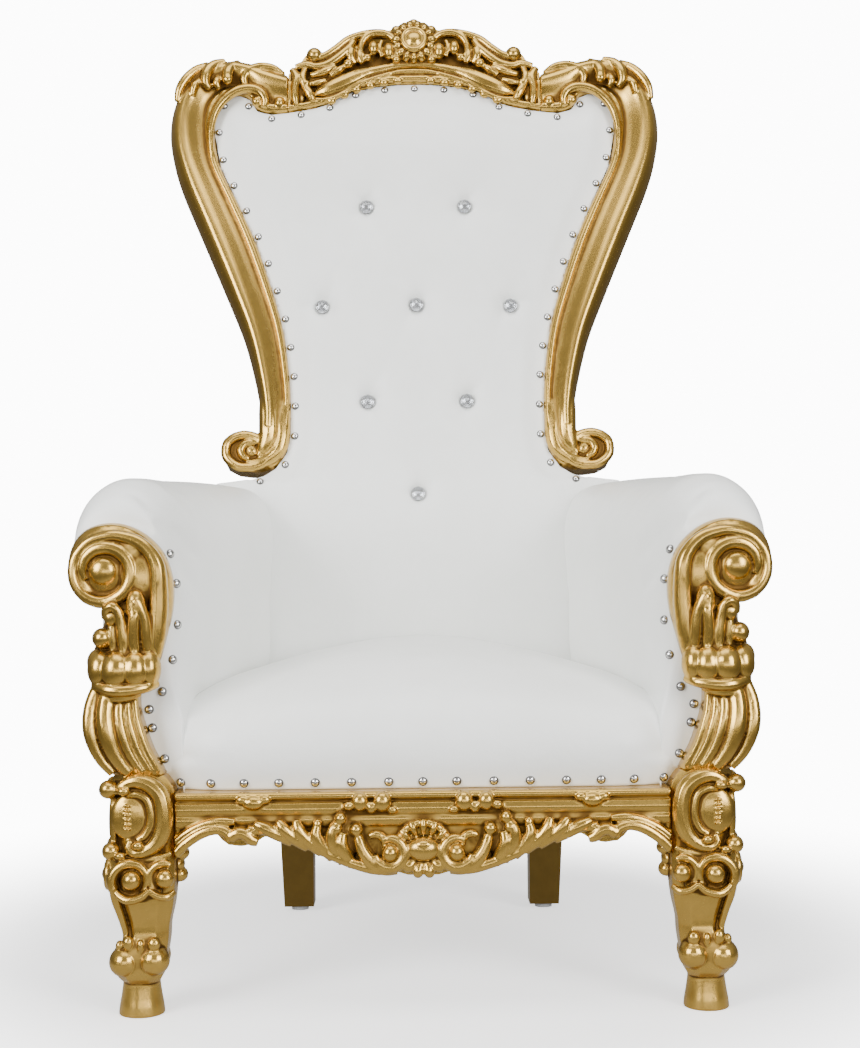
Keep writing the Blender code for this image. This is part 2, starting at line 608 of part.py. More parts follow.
def padded_board():
    """A board whose front swells by the crown, before it is cut to the outline."""
    unit = back_unit()
    columns = [-360, -290, -225, -160, -95, -32, 32, 95, 160, 225, 290, 360]
    rows = [280, 480, 600, 690, *range(760, 1380, 80), 1375, 1432]
    bm = bmesh.new()
    front = [[bm.verts.new((x * unit, -crown(x, z), z * unit)) for x in columns] for z in rows]
    for low, high in zip(front, front[1:]):
        for i in range(len(columns) - 1):
            bm.faces.new((low[i], low[i + 1], high[i + 1], high[i]))
    rim = [*front[0], *(row[-1] for row in front[1:]), *reversed(front[-1][:-1]), *(row[0] for row in front[-2:0:-1])]
    back = [bm.verts.new((v.co.x, CUSHION_THICK, v.co.z)) for v in rim]
    for i in range(len(rim)):
        j = (i + 1) % len(rim)
        bm.faces.new((rim[i], back[i], back[j], rim[j]))
    bm.faces.new(back)
    return mesh_of(bm)


def turned_forward(profile, x, y, z, sides):
    """A turned body whose axis points to the front, from (radius, distance in front) points."""
    mesh = turned(profile, (0, 0), sides)
    mesh.transform(Matrix.Translation((x, y, z)) @ Matrix.Rotation(math.pi / 2, 4, "X"))
    return mesh


def add_back_upholstery():
    unit = back_unit()
    cushion = combine([padded_board(), slab(back_outline(), -1, 1)], "INTERSECT")
    slope = (BUTTON_SPREAD - CRYSTAL_RADIUS) / BUTTON_SINK
    hollow = [(CRYSTAL_RADIUS + GAP, 0), (CRYSTAL_RADIUS + slope * 0.05, 0.05)]
    hollows = [turned_forward(hollow, x * unit, button_seat(x, z), z * unit, 10) for x, z in CRYSTALS]
    add_back("back_cushion", cut(cushion, *hollows, above_frame()), LEATHER)
    panel = slab(back_outline(), CUSHION_THICK + GAP, CUSHION_THICK + PANEL_THICK)
    add_back("back_panel", cut(panel, above_frame()), LEATHER)
    stud = [(CRYSTAL_RADIUS, 0), (CRYSTAL_RADIUS, 0.0015), (0.58 * CRYSTAL_RADIUS, 0.006)]
    for number, (x, z) in enumerate(CRYSTALS, 1):
        add_back(f"crystal_{number}", turned_forward(stud, x * unit, button_seat(x, z) - GAP, z * unit, 6), CRYSTAL)


# Seat and arms

SEAT_PROFILE = (                  # shares of the depth behind the front and of the height
    (0.025, 0), (0.005, 0.20), (0, 0.40), (0.011, 0.56), (0.039, 0.70), (0.098, 0.82), (0.196, 0.915),
    (0.321, 0.97), (0.482, 1.0), (0.714, 0.99), (1, 0.955), (1, 0),
)
ARM_STATIONS = (                  # share of the length, then in rolls: its centre from the inner face, size, drop
    (0, 1.07, 0.84, 0.59), (0.057, 1.11, 0.95, 0.25), (0.123, 1.10, 1.0, 0.04), (0.443, 1.04, 1.0, 0),
    (0.726, 0.97, 0.94, -0.03), (1, 0.90, 0.86, -0.01),
)
ARM_MEETS_BACK = 0.858            # share of the arm's length where its inner face reaches the back


def inner_face(y):
    """x of the arm's inner face."""
    share = (y - ARM_FACE_Y) / (ARM_LENGTH * ARM_MEETS_BACK)
    return SEAT_HALF_FRONT + (SEAT_HALF_BACK - SEAT_HALF_FRONT) * max(0.0, share)


def in_front_of_back():
    """A cutter that leaves what stands in front of the upholstered back."""
    cutter = block((-1, -GAP, -1), (1, 1, 2))
    cutter.transform(tilt())
    return cutter


def add_seat():
    bottom = RAIL_TOP + GAP
    rings = []
    for share in (-1, -0.97, -0.82, -0.6, -0.3, 0, 0.3, 0.6, 0.82, 0.97, 1):
        top = SEAT_EDGE + SEAT_CROWN * (1 - share * share) ** 1.1
        tuck = 0.2 * SEAT_CROWN * max(0.0, abs(share) - 0.8) / 0.2
        rings.append([(share * (inner_face(SEAT_FRONT_Y + d * SEAT_DEPTH) - GAP),
                       SEAT_FRONT_Y + d * SEAT_DEPTH + (tuck if h < 0.65 and d < 0.5 else 0),
                       bottom + h * (top - bottom)) for d, h in SEAT_PROFILE])
    node("seat_cushion", cut(loft(rings), in_front_of_back()), LEATHER)


def arm_pad():
    bottom = RAIL_TOP + GAP
    rings = []
    for along, offset, share, drop in ARM_STATIONS:
        y = ARM_FACE_Y + GAP + along * ARM_LENGTH
        inner = inner_face(y)
        outer = inner + ARM_WALL_FRONT + (ARM_WALL_BACK - ARM_WALL_FRONT) * along
        radius = share * ARM_ROLL
        x, z = inner + offset * ARM_ROLL, ARM_TOP - drop * ARM_ROLL - radius
        roll = [(x + radius * math.cos(a), y, z + radius * math.sin(a)) for a in
                (math.radians(d) for d in (168, 142, 116, 90, 62, 34, 6, -22, -50))]
        rings.append([(inner, y, bottom), (inner, y, z - 0.5 * radius), *roll, (outer, y, z - 1.15 * radius),
                      (outer, y, bottom)])
    return loft(rings)


def add_arm_pads():
    inner = LEG_INNER * LEG_HEIGHT / LEG_DRAWN
    leg_top = block((LEG_SPACING / 2 - inner - GAP, -1, 0), (1, LEG_AXIS_Y + inner + GAP, LEG_HEIGHT + GAP))
    right = cut(arm_pad(), leg_top, in_front_of_back())
    node("arm_pad_right", right, LEATHER)
    node("arm_pad_left", mirrored(right), LEATHER)


clear_scene()
add_front_legs()
add_arm_fronts()
add_front_rail()
add_frame()
add_posts_and_crest()
add_back_upholstery()
add_seat()
add_arm_pads()
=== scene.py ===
# %% [markdown]
# # A carved and gilded throne
# The throne is a frame of carved wood painted gold, with white leatherette stretched over foam.
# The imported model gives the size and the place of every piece. This file dresses those pieces:
# the carving gets its relief, the upholstery its softness, and every surface its own finish.

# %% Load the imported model
import math

import bmesh
import bpy
import numpy as np
from mathutils import Matrix, Vector
from mathutils.bvhtree import BVHTree


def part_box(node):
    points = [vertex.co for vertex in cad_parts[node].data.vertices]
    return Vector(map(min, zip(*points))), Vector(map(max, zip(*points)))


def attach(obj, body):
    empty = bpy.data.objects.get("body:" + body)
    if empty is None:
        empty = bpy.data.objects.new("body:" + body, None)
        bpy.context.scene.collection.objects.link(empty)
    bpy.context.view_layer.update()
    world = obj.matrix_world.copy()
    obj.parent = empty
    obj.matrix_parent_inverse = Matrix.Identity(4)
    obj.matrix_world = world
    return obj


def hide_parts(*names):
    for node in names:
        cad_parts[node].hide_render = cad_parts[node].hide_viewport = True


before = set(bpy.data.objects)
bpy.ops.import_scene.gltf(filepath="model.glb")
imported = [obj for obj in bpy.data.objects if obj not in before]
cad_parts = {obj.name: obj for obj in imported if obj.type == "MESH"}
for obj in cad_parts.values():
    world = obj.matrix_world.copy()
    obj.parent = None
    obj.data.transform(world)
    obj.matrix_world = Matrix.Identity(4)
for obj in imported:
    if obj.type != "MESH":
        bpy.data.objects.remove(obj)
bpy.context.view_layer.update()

# %% [markdown]
# ## Camera
# The photograph was taken from about two and a half metres, at the height of the seat, with the
# camera turned and tipped by about a degree. A camera is an object whose -Z axis looks ahead and
# whose +Y axis is up, so its matrix is written from those directions. Roll turns the two upright
# axes about the line of sight. The throne then stands in the frame as it does in the picture.

# %% The camera
YAW, PITCH, ROLL = (math.radians(a) for a in (0.67, 0.66, 0.53))
CAMERA_PLACE = Vector((-0.012, -2.4265, 0.603))
ahead = Vector((math.sin(YAW) * math.cos(PITCH), math.cos(YAW) * math.cos(PITCH), math.sin(PITCH)))
level = Vector((math.cos(YAW), -math.sin(YAW), 0))
above = level.cross(ahead)
to_right = math.cos(ROLL) * level - math.sin(ROLL) * above
to_top = math.sin(ROLL) * level + math.cos(ROLL) * above
lens = bpy.data.cameras.new("camera")
lens.sensor_fit = "HORIZONTAL"
lens.sensor_width = 36
lens.lens = 67.32
camera = bpy.data.objects.new("camera", lens)
bpy.context.scene.collection.objects.link(camera)
camera.matrix_world = Matrix.Translation(CAMERA_PLACE) @ Matrix((to_right, to_top,
                                                                 -ahead)).transposed().to_4x4()
bpy.context.scene.camera = camera
print("camera looks ahead along", tuple(round(c, 3) for c in ahead))

# %% [markdown]
# ## Helpers for working by hand in code
# Blender's operators act on whatever is selected, so each step starts by clearing the selection.
# These few helpers do that, join blanks into one object, and run an edit-mode step on a piece.

# %% Selecting and joining
def clear_selection():
    if bpy.context.object and bpy.context.object.mode != "OBJECT":
        bpy.ops.object.mode_set(mode="OBJECT")
    bpy.ops.object.select_all(action="DESELECT")


def pick(piece):
    clear_selection()
    piece.select_set(True)
    bpy.context.view_layer.objects.active = piece


def join(blanks):
    pick(blanks[0])
    for blank in blanks:
        blank.select_set(True)
    if len(blanks) > 1:
        bpy.ops.object.join()
    return bpy.context.object


def apply(piece, kind, **settings):
    """Add one modifier, set it and apply it."""
    pick(piece)
    modifier = piece.modifiers.new(kind.lower(), kind)
    for key, value in settings.items():
        setattr(modifier, key, value)
    bpy.ops.object.modifier_apply(modifier=modifier.name)


def face_outwards(piece, weld=0.0):
    pick(piece)
    bpy.ops.object.mode_set(mode="EDIT")
    bpy.ops.mesh.select_all(action="SELECT")
    if weld:
        bpy.ops.mesh.remove_doubles(threshold=weld)
    bpy.ops.mesh.normals_make_consistent(inside=False)
    bpy.ops.object.mode_set(mode="OBJECT")


def triangles(piece):
    piece.data.calc_loop_triangles()
    return len(piece.data.loop_triangles)


# %% [markdown]
# ## Shader expressions
# A shader tree is easier to read as a formula. The class below wraps one socket. Adding,
# multiplying or comparing two wrapped sockets puts a Math node between them, and node() makes any
# other node: its settings come first, because some of them change which sockets there are.

# %% A socket that can be used in a formula
class Value:
    def __init__(self, tree, socket):
        self.tree = tree
        self.socket = socket

    def node(self, kind, settings=None, out=0, **values):
        made = self.tree.nodes.new(kind)
        for key, value in (settings or {}).items():
            if key == "stops":
                ramp = made.color_ramp
                while len(ramp.elements) < len(value):
                    ramp.elements.new(1)
                for element, (place, colour) in zip(ramp.elements, value):
                    element.position = place
                    element.color = colour if len(colour) == 4 else (*colour, 1)
            else:
                setattr(made, key, value)
        for key, value in values.items():
            slot = made.inputs[int(key[1:])] if key[1:].isdigit() else made.inputs[key.replace("_", " ")]
            if isinstance(value, Value):
                self.tree.links.new(value.socket, slot)
            else:
                slot.default_value = value
        return Value(self.tree, made.outputs[out])

    def math(self, operation, other=0.0, third=None, swap=False):
        first, second = (other, self) if swap else (self, other)
        values = {"i0": first, "i1": second}
        if third is not None:
            values["i2"] = third
        return self.node("ShaderNodeMath", {"operation": operation}, **values)

    def __add__(self, other):
        return self.math("ADD", other)

    def __radd__(self, other):
        return self.math("ADD", other, swap=True)

    def __sub__(self, other):
        return self.math("SUBTRACT", other)

    def __rsub__(self, other):
        return self.math("SUBTRACT", other, swap=True)

    def __mul__(self, other):
        return self.math("MULTIPLY", other)

    def __rmul__(self, other):
        return self.math("MULTIPLY", other, swap=True)

    def between(self, low, high):
        """0 below low, 1 above high, and a soft step in between."""
        return self.node("ShaderNodeMapRange", {"interpolation_type": "SMOOTHSTEP"},
                         i0=self, i1=low, i2=high, i3=0.0, i4=1.0)

    def mix(self, low, high):
        """The colour low where this is 0, the colour high where it is 1."""
        made = self.tree.nodes.new("ShaderNodeMix")
        made.data_type = "RGBA"
        for slot, value in ((0, self), (6, low), (7, high)):
            if isinstance(value, Value):
                self.tree.links.new(value.socket, made.inputs[slot])
            else:
                made.inputs[slot].default_value = value if slot == 0 else (*value, 1)
        return Value(self.tree, made.outputs[2])


def finish(name, **fixed):
    """A new material: its tree, its shader, and the object's coordinates as a wrapped socket."""
    made = bpy.data.materials.new(name)
    made.use_nodes = True
    shader = made.node_tree.nodes["Principled BSDF"]
    for key, value in fixed.items():
        shader.inputs[key.replace("_", " ")].default_value = value
    place = made.node_tree.nodes.new("ShaderNodeTexCoord")
    return made, shader, Value(made.node_tree, place.outputs["Object"])


def feed(shader, name, value):
    value.tree.links.new(value.socket, shader.inputs[name])


# %% [markdown]
# ## Gold paint
# The frame isn't leafed: it is sprayed gold, glossy on the high parts and duller in the hollows.
# The hollows are also painted browner: that is painted shade. Each carved piece carries an
# attribute called hollow, from 0 on a crest to 1 in a groove, so one material can paint that
# shade on every piece of the carving.

# %% The gold
def gold_paint(name, light, shade_tone, rough):
    made, shader, place = finish(name, Metallic=0.92, IOR=1.5)
    hollow = place.node("ShaderNodeAttribute", {"attribute_name": "hollow"}, out=2)
    cloud = place.node("ShaderNodeTexNoise", {}, Vector=place, Scale=38.0, Detail=4.0, Roughness=0.6)
    speck = place.node("ShaderNodeTexNoise", {}, Vector=place, Scale=420.0, Detail=3.0, Roughness=0.7)
    # depth is painted shade: it darkens the hollows towards the shade tone and makes them duller.
    depth = (hollow + (cloud - 0.5) * 0.20).between(0.52, 0.86)
    patch = (cloud * 0.7 + speck * 0.3).between(0.30, 0.75)
    warm = patch.mix(tuple(0.90 * c for c in light), tuple(min(1, 1.06 * c) for c in light))
    colour = depth.mix(warm, depth.mix(light, shade_tone))
    feed(shader, "Base Color", colour)
    feed(shader, "Roughness", rough + depth * 0.26 + (speck - 0.5) * 0.10)
    grain = speck * 0.6 + cloud * 0.4
    bump = place.node("ShaderNodeBump", {}, Strength=0.10, Distance=0.0006, Height=grain)
    feed(shader, "Normal", bump)
    return made


gold = gold_paint("gold_paint", (0.52, 0.325, 0.072), (0.105, 0.052, 0.010), 0.25)
# A darker copy of the gold for the back legs, as painted shade.
shaded_gold = gold_paint("shaded_gold_paint", (0.17, 0.105, 0.025), (0.08, 0.045, 0.01), 0.36)
print("gold paint nodes:", len(gold.node_tree.nodes))

# %% [markdown]
# ## White leatherette, nailheads, crystal and glides
# Leatherette is a smooth white film with a printed pebble grain about a millimetre across, so it
# shines a little and shows soft creases. Nailheads are chromed steel, with a rim painted dark as
# painted shade. The crystals are clear cut glass on a mirror foil: only plain values stand on the
# glass shader, so light passes through. The glides are grey nylon.

# %% The soft white
def leatherette():
    made, shader, place = finish("white_leatherette", Metallic=0.0, IOR=1.48)
    pebble = place.node("ShaderNodeTexVoronoi", {"feature": "SMOOTH_F1"}, Vector=place, Scale=620.0,
                        Smoothness=0.6)
    crease = place.node("ShaderNodeTexNoise", {}, Vector=place, Scale=26.0, Detail=5.0, Roughness=0.62,
                        Distortion=0.5)
    cloud = place.node("ShaderNodeTexNoise", {}, Vector=place, Scale=5.0, Detail=2.0, Roughness=0.5)
    tone = (cloud * 0.65 + crease * 0.35).between(0.30, 0.72)
    feed(shader, "Base Color", tone.mix((0.82, 0.83, 0.80), (0.87, 0.88, 0.855)))
    feed(shader, "Roughness", 0.40 + (crease - 0.5) * 0.16 + pebble * 0.05)
    fine = place.node("ShaderNodeBump", {}, Strength=0.22, Distance=0.0003, Height=1.0 - pebble)
    wide = place.node("ShaderNodeBump", {}, Strength=0.28, Distance=0.003, Height=crease, Normal=fine)
    feed(shader, "Normal", wide)
    return made


white = leatherette()


# %% Chrome, crystal, nylon
def chrome(name, dull, bright, rough):
    made, shader, place = finish(name, Metallic=1.0)
    cloud = place.node("ShaderNodeTexNoise", {}, Vector=place, Scale=160.0, Detail=3.0, Roughness=0.6)
    feed(shader, "Base Color", cloud.mix(dull, bright))
    feed(shader, "Roughness", rough + cloud * 0.16)
    return made


def nylon():
    made, shader, place = finish("grey_nylon", Metallic=0.0)
    cloud = place.node("ShaderNodeTexNoise", {}, Vector=place, Scale=90.0, Detail=4.0, Roughness=0.6)
    feed(shader, "Base Color", cloud.mix((0.30, 0.31, 0.32), (0.46, 0.47, 0.48)))
    feed(shader, "Roughness", 0.45 + cloud * 0.2)
    bump = place.node("ShaderNodeBump", {}, Strength=0.2, Distance=0.0004, Height=cloud)
    feed(shader, "Normal", bump)
    return made


def cut_glass():
    made = bpy.data.materials.new("clear_crystal")
    made.use_nodes = True
    shader = made.node_tree.nodes["Principled BSDF"]
    for key, value in (("Base Color", (0.93, 0.95, 0.97, 1)), ("Roughness", 0.03), ("IOR", 1.6),
                       ("Transmission Weight", 0.85)):
        shader.inputs[key].default_value = value
    return made


foil_finish = chrome("crystal_foil", (0.16, 0.165, 0.17), (0.46, 0.47, 0.49), 0.06)
nails_finish = chrome("nail_chrome", (0.50, 0.49, 0.48), (0.68, 0.67, 0.66), 0.14)
# The nail rim is painted dark: painted shade where the head meets the cover and turns away.
rim_shade_finish = chrome("nail_rim_painted_shade", (0.10, 0.10, 0.095), (0.20, 0.195, 0.19), 0.24)
glide_finish, crystal_finish = nylon(), cut_glass()

# %% [markdown]
# ## Tools of the carving
# A carver starts from a blank, lays out ridges and beads on it, and works them into each other.
# The same is done here in millimetres. A stroke is a curve whose thickness changes along it, a
# bead is a stretched sphere, a board is an outline with a thickness, and a blank is drawn up ring
# by ring. Voxel remesh then runs them into one closed skin, and a few smoothing passes soften the
# edges as paint does.

# %% Strokes
def smooth_line(points, steps=6):
    """Extra points on a smooth run through the given ones."""
    if len(points) < 3:
        steps = 1
    ends = [points[0], *points, points[-1]]
    found = []
    for a, b, c, d in zip(ends, ends[1:], ends[2:], ends[3:]):
        for i in range(steps):
            t = i / steps
            found.append(tuple(0.5 * (2 * q + (r - p) * t + (2 * p - 5 * q + 4 * r - s) * t * t
                                      + (3 * q - p - 3 * r + s) * t ** 3)
                                      for p, q, r, s in zip(a, b, c, d)))
    return [*found, tuple(points[-1])]


def strokes(paths, flat=1.0):
    """Strokes of (x, y, z, radius) points; flat presses their round section from the front."""
    bpy.ops.curve.primitive_nurbs_path_add()
    drawn = bpy.context.object
    drawn.data.splines.clear()
    for path in paths:
        line = smooth_line(path)
        spline = drawn.data.splines.new("POLY")
        spline.points.add(len(line) - 1)
        for point, (x, y, z, radius) in zip(spline.points, line):
            point.co = (x, y / flat, z, 1)
            point.radius = max(0.4, radius)
    drawn.location = (0, 0, 0)
    drawn.data.bevel_depth = 1
    drawn.data.bevel_resolution = 3
    drawn.data.use_fill_caps = True
    pick(drawn)
    bpy.ops.object.convert(target="MESH")
    drawn.data.transform(Matrix.Diagonal((1, flat, 1, 1)))
    return drawn


def level_strokes(paths, depth, flat=1.0):
    """Strokes that keep one depth, from (x, z, radius) points."""
    return strokes([[(x, depth, z, r) for x, z, r in path] for path in paths], flat)


# %% Beads, boards and blanks
def beads(places):
    """Beads from (centre, radii), all in one object."""
    bpy.ops.mesh.primitive_uv_sphere_add(segments=20, ring_count=12, radius=1, location=places[0][0],
                                         scale=places[0][1])
    made = bpy.context.object
    bpy.ops.object.transform_apply(location=True, rotation=True, scale=True)
    bpy.ops.object.mode_set(mode="EDIT")
    for centre, radii in places[1:]:
        bpy.ops.mesh.primitive_uv_sphere_add(segments=20, ring_count=12, radius=1, location=centre,
                                             scale=radii)
    bpy.ops.object.mode_set(mode="OBJECT")
    return made


def blank(rings):
    """A closed body drawn up ring by ring: the first ring is filled, then extruded to each next one."""
    bpy.ops.mesh.primitive_circle_add(vertices=len(rings[0]), radius=1, fill_type="NGON",
                                      location=(0, 0, 0))
    made = bpy.context.object
    bpy.ops.object.mode_set(mode="EDIT")
    for number, ring in enumerate(rings):
        if number:
            bpy.ops.mesh.extrude_region_move()
        cells = bmesh.from_edit_mesh(made.data)
        for vertex, place in zip([v for v in cells.verts if v.select], ring):
            vertex.co = place
        bmesh.update_edit_mesh(made.data)
    bpy.ops.object.mode_set(mode="OBJECT")
    return made


def board(outline, front, back):
    """An (x, z) outline as thick as the way from front to back."""
    return blank([[(x, depth, z) for x, z in outline] for depth in (front, back)])


def bevelled(outline, levels):
    """A board with worked edges: (depth, inset) levels of an (x, z) outline from the back to the front."""
    line = np.array(outline)
    along = np.roll(line, -1, 0) - np.roll(line, 1, 0)
    turn = (np.roll(line, 1, 0)[:, 0] * line[:, 1] - line[:, 0] * np.roll(line, 1, 0)[:, 1]).sum()
    inwards = np.sign(turn) * np.stack([-along[:, 1], along[:, 0]], 1) / np.linalg.norm(along, axis=1,
                                                                                        keepdims=True)
    return blank([[(x, depth, z) for x, z in line + inset * inwards] for depth, inset in levels])


def turned(profile, sides=40):
    """A turned body from (radius, z) points."""
    angles = [math.tau * k / sides for k in range(sides)]
    return blank([[(r * math.cos(a), r * math.sin(a), z) for a in angles] for r, z in profile])


def scroll(centre, stops, depth, step=15):
    """Points of a scroll from (angle in degrees, distance, thickness) stops about an (x, z) centre."""
    path = []
    for (a0, d0, r0), (a1, d1, r1) in zip(stops, stops[1:]):
        count = max(1, round(abs(a1 - a0) / step))
        path += [tuple(p + (q - p) * i / count for p, q in ((a0, a1), (d0, d1), (r0, r1)))
                 for i in range(count)]
    path.append(stops[-1])
    return [(centre[0] + d * math.cos(math.radians(a)), depth,
             centre[1] + d * math.sin(math.radians(a)), r)
            for a, d, r in path]


def fan(height, stops, angles):
    """Short strokes fanning out about (0, height), from (half width, half height, depth, radius) stops."""
    return [[(w * math.cos(a), depth, height + h * math.sin(a), r) for w, h, depth, r in stops]
            for a in map(math.radians, angles)]


def both_sides(paths):
    """Strokes or beads and their reflections."""
    if isinstance(paths[0][0][0], (int, float)) and len(paths[0]) == 2 and len(paths[0][0]) == 3:
        return [*paths, *(((-c[0], c[1], c[2]), r) for c, r in paths)]
    return [*paths, *([(-x, y, z, r) for x, y, z, r in path] for path in paths)]


# %% [markdown]
# ### Where shade is painted on the gold
# The hollow attribute compares each point with a heavily smoothed copy of the skin. Where the
# smoothed skin passes above the point the point lies in a groove, and where it passes below, the
# point stands on a crest. The smoothing only averages neighbours, so plain arrays are enough.

# %% Grooves and crests
def mark_hollows(piece, passes=60, full=1.9):
    mesh = piece.data
    count = len(mesh.vertices)
    here = np.empty(count * 3)
    mesh.vertices.foreach_get("co", here)
    here = here.reshape(count, 3)
    normals = np.empty(count * 3)
    mesh.vertices.foreach_get("normal", normals)
    ends = np.empty(len(mesh.edges) * 2, dtype=int)
    mesh.edges.foreach_get("vertices", ends)
    a, b = ends.reshape(-1, 2).T
    share = np.bincount(np.r_[a, b], minlength=count)[:, None]
    soft = here.copy()
    for _ in range(passes):
        total = np.stack([np.bincount(a, soft[b, i], count) + np.bincount(b, soft[a, i], count)
                          for i in range(3)], 1)
        soft = 0.5 * soft + 0.5 * total / share
    depth = ((soft - here) * normals.reshape(count, 3)).sum(1)
    found = np.clip(0.5 + depth / (2 * full), 0, 1)
    mesh.attributes.new("hollow", "FLOAT", "POINT").data.foreach_set("value", found)
    return found


def carve(name, blanks, grain, place, soften=2, trim=(), keep=0.5, full=1.9):
    """Run blanks and strokes into one skin with cells of grain mm, soften it and bring it to its place."""
    piece = join(blanks)
    piece.name = name
    face_outwards(piece)
    piece.data.remesh_voxel_size = grain
    piece.data.remesh_voxel_adaptivity = 0
    bpy.ops.object.voxel_remesh()
    apply(piece, "SMOOTH", factor=0.5, iterations=soften)
    for point, normal in trim:
        pick(piece)
        bpy.ops.object.mode_set(mode="EDIT")
        bpy.ops.mesh.select_all(action="SELECT")
        bpy.ops.mesh.bisect(plane_co=point, plane_no=normal, use_fill=True, clear_outer=True)
        bpy.ops.object.mode_set(mode="OBJECT")
    hollows = mark_hollows(piece, full=full)
    apply(piece, "DECIMATE", ratio=keep)
    piece.data.transform(place)
    piece.data.materials.clear()
    piece.data.materials.append(gold)
    pick(piece)
    bpy.ops.object.shade_smooth()
    print(f"{name}: {triangles(piece)} triangles, {100 * np.mean(hollows > 0.7):.0f}% in the hollows")
    return piece


def other_side(piece, name):
    """The same piece for the other side, with a mesh of its own."""
    twin = piece.copy()
    twin.data = piece.data.copy()
    twin.name = name
    bpy.context.scene.collection.objects.link(twin)
    twin.data.transform(Matrix.Diagonal((-1, 1, 1, 1)))
    face_outwards(twin, weld=0.000001)
    return twin


def stands_for(piece, node):
    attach(piece, "root")
    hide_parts(*([node] if isinstance(node, str) else node))


# %% [markdown]
# ## Front legs
# Each front leg is a short cabriole leg: a bell foot, three ball toes, a waisted shaft with facets,
# two knee scrolls and a block that carries the rail. On the block a fat C-scroll runs round a flat
# panel with small nicks. The shaft is drawn up ring by ring, everything else is strokes and beads.

# %% The leg's blank and its foot
LEG_AXIS = (0.365, -0.3375)
LEG_HEIGHT = 312


def eight_sided(z, x0, x1, y0, y1, corner=0.26):
    cx, cy = corner * (x1 - x0), corner * (y1 - y0)
    return [(x0 + cx, y0, z), (x1 - cx, y0, z), (x1, y0 + cy, z), (x1, y1 - cy, z),
            (x1 - cx, y1, z), (x0 + cx, y1, z), (x0, y1 - cy, z), (x0, y0 + cy, z)]


leg_rings = smooth_line([(42, -24, 22, -24, 24), (54, -30, 30, -33, 30), (78, -34, 30, -36, 32),
                         (98, -37, 20, -33, 30), (116, -38, 19, -31, 30), (140, -43, 27, -36, 34),
                         (168, -46, 37, -42, 38), (192, -46, 38, -42, 40), (206, -46, 34, -38, 41),
                         (250, -46, 34, -37, 43), (278, -46, 34, -37, 43), (290, -44, 34, -37, 43),
                         (302, -37, 33, -36, 43), (LEG_HEIGHT, -26, 31, -34, 43)], 3)
leg_blank = blank([eight_sided(*ring) for ring in leg_rings])
leg_foot = turned([(29.5, 0), (29.3, 4), (28.3, 12), (26.4, 22), (24.6, 34), (23.2, 46), (23, 54)])
leg_toes = beads([((18, -21, 71), (20.5, 22, 20)), ((-20, -24, 73), (20, 20, 19.5)),
                  ((20, 18, 70), (20, 20, 19)), ((-18, 18, 70), (17, 17, 18)),
                  ((-21, -34, 95), (8, 6, 9)), ((12, -32, 96), (7, 6, 10)), ((-4, -33, 93), (5, 5, 9)),
                  ((24, -26, 92), (5, 6, 7))])
print("leg rings:", len(leg_rings))

# %% Scrolls, panel and beads of the leg
knee = strokes([
    scroll((5, 179), [(235, 18, 3), (190, 18.5, 5), (140, 19, 6), (90, 20, 6.5), (45, 22.5, 7),
                      (0, 26, 7), (-30, 27, 6.5)], -40),
    [(29, -37, 168, 6.5), (27, -31, 150, 6), (21, -26, 128, 5), (16, -24, 108, 4.5), (17, -25, 96, 4)],
    scroll((-36, 180), [(-75, 18, 3), (-30, 19, 5), (20, 19.5, 6), (70, 19, 6), (115, 18, 4)], -38),
    [(-48, -34, 162, 4), (-39, -41, 157, 5.5), (-27, -44, 159, 5), (-16, -43, 166, 4)],
    [(-16, -43, 166, 4), (-7, -45, 158, 5.5), (8, -46, 154, 6), (20, -43, 158, 5), (28, -38, 166, 4)],
    scroll((0, 180), [(215, 18, 3), (130, 20, 6), (40, 20, 6), (-50, 19, 5), (-130, 16, 3)], 0)],
    flat=1.2)
side_knee = strokes([[(39, -4 + 18 * math.cos(a), 180 + 17 * math.sin(a), 6)
                      for a in map(math.radians, range(-60, 250, 20))],
                     [(30, -28, 284, 4), (31, -28, 262, 5), (31, -28, 240, 5), (30, -28, 224, 4)]])
eyes = beads([((5, -46, 179), (12.5, 12, 12.5)), ((-37, -43, 180), (12, 11, 12)),
              ((41, -4, 180), (9, 11, 11))])
cartouche = level_strokes([
    [(27, 288, 4), (17, 297, 7), (1, 303, 9), (-16, 299, 10.5), (-30, 286, 11.5), (-35, 265, 12),
     (-34, 243, 12), (-26, 225, 11), (-11, 214, 9), (3, 212, 7), (10, 219, 5.5), (7, 228, 4)],
    [(12, 285, 3.5), (-2, 286, 5), (-14, 279, 5.5), (-19, 263, 6), (-18, 247, 6), (-11, 234, 5.5),
     (-1, 228, 4.5)],
    [(30, 207, 3.5), (10, 202, 5), (-14, 203, 5), (-34, 207, 4.5), (-44, 212, 3)]], -36, flat=1.0)
panel = beads([((9, -33, 257), (24, 8, 30)), ((15, -40, 291), (9, 8, 6)), ((-3, -43, 222), (8, 7, 6))])
nicks = strokes([[(7, -41.6, z, 1.4), (11, -42.0, z + 0.8, 1.9), (15, -41.4, z + 1, 1.3)]
                 for z in range(242, 273, 6)])
leg_beads = beads([((36, -30, 292), (12.5, 12.5, 12)), ((33, -33, 214), (11.5, 11.5, 11.5)),
                   ((38, 16, 214), (9, 12, 11)), ((38, 14, 292), (9, 13, 11)),
                   ((-49, 12, 203), (12, 13, 10)), ((-48, 12, 175), (11, 12, 10)),
                   ((-46, 12, 189), (9, 13, 10)), ((20, -41, 209), (7, 6, 5))])
leg = carve("front_leg_right_carved", [leg_blank, leg_foot, leg_toes, knee, side_knee, eyes, cartouche,
                                       panel, nicks, leg_beads],
            1.6, Matrix.Translation((*LEG_AXIS, 0)) @ Matrix.Scale(0.001, 4),
            trim=[((0, 0, 0.0), (0, 0, -1)), ((0, 43.5, 0), (0, 1, 0)), ((0, 0, 318), (0, 0, 1))])
left_leg = other_side(leg, "front_leg_left_carved")
stands_for(leg, "front_leg_right")
stands_for(left_leg, "front_leg_left")

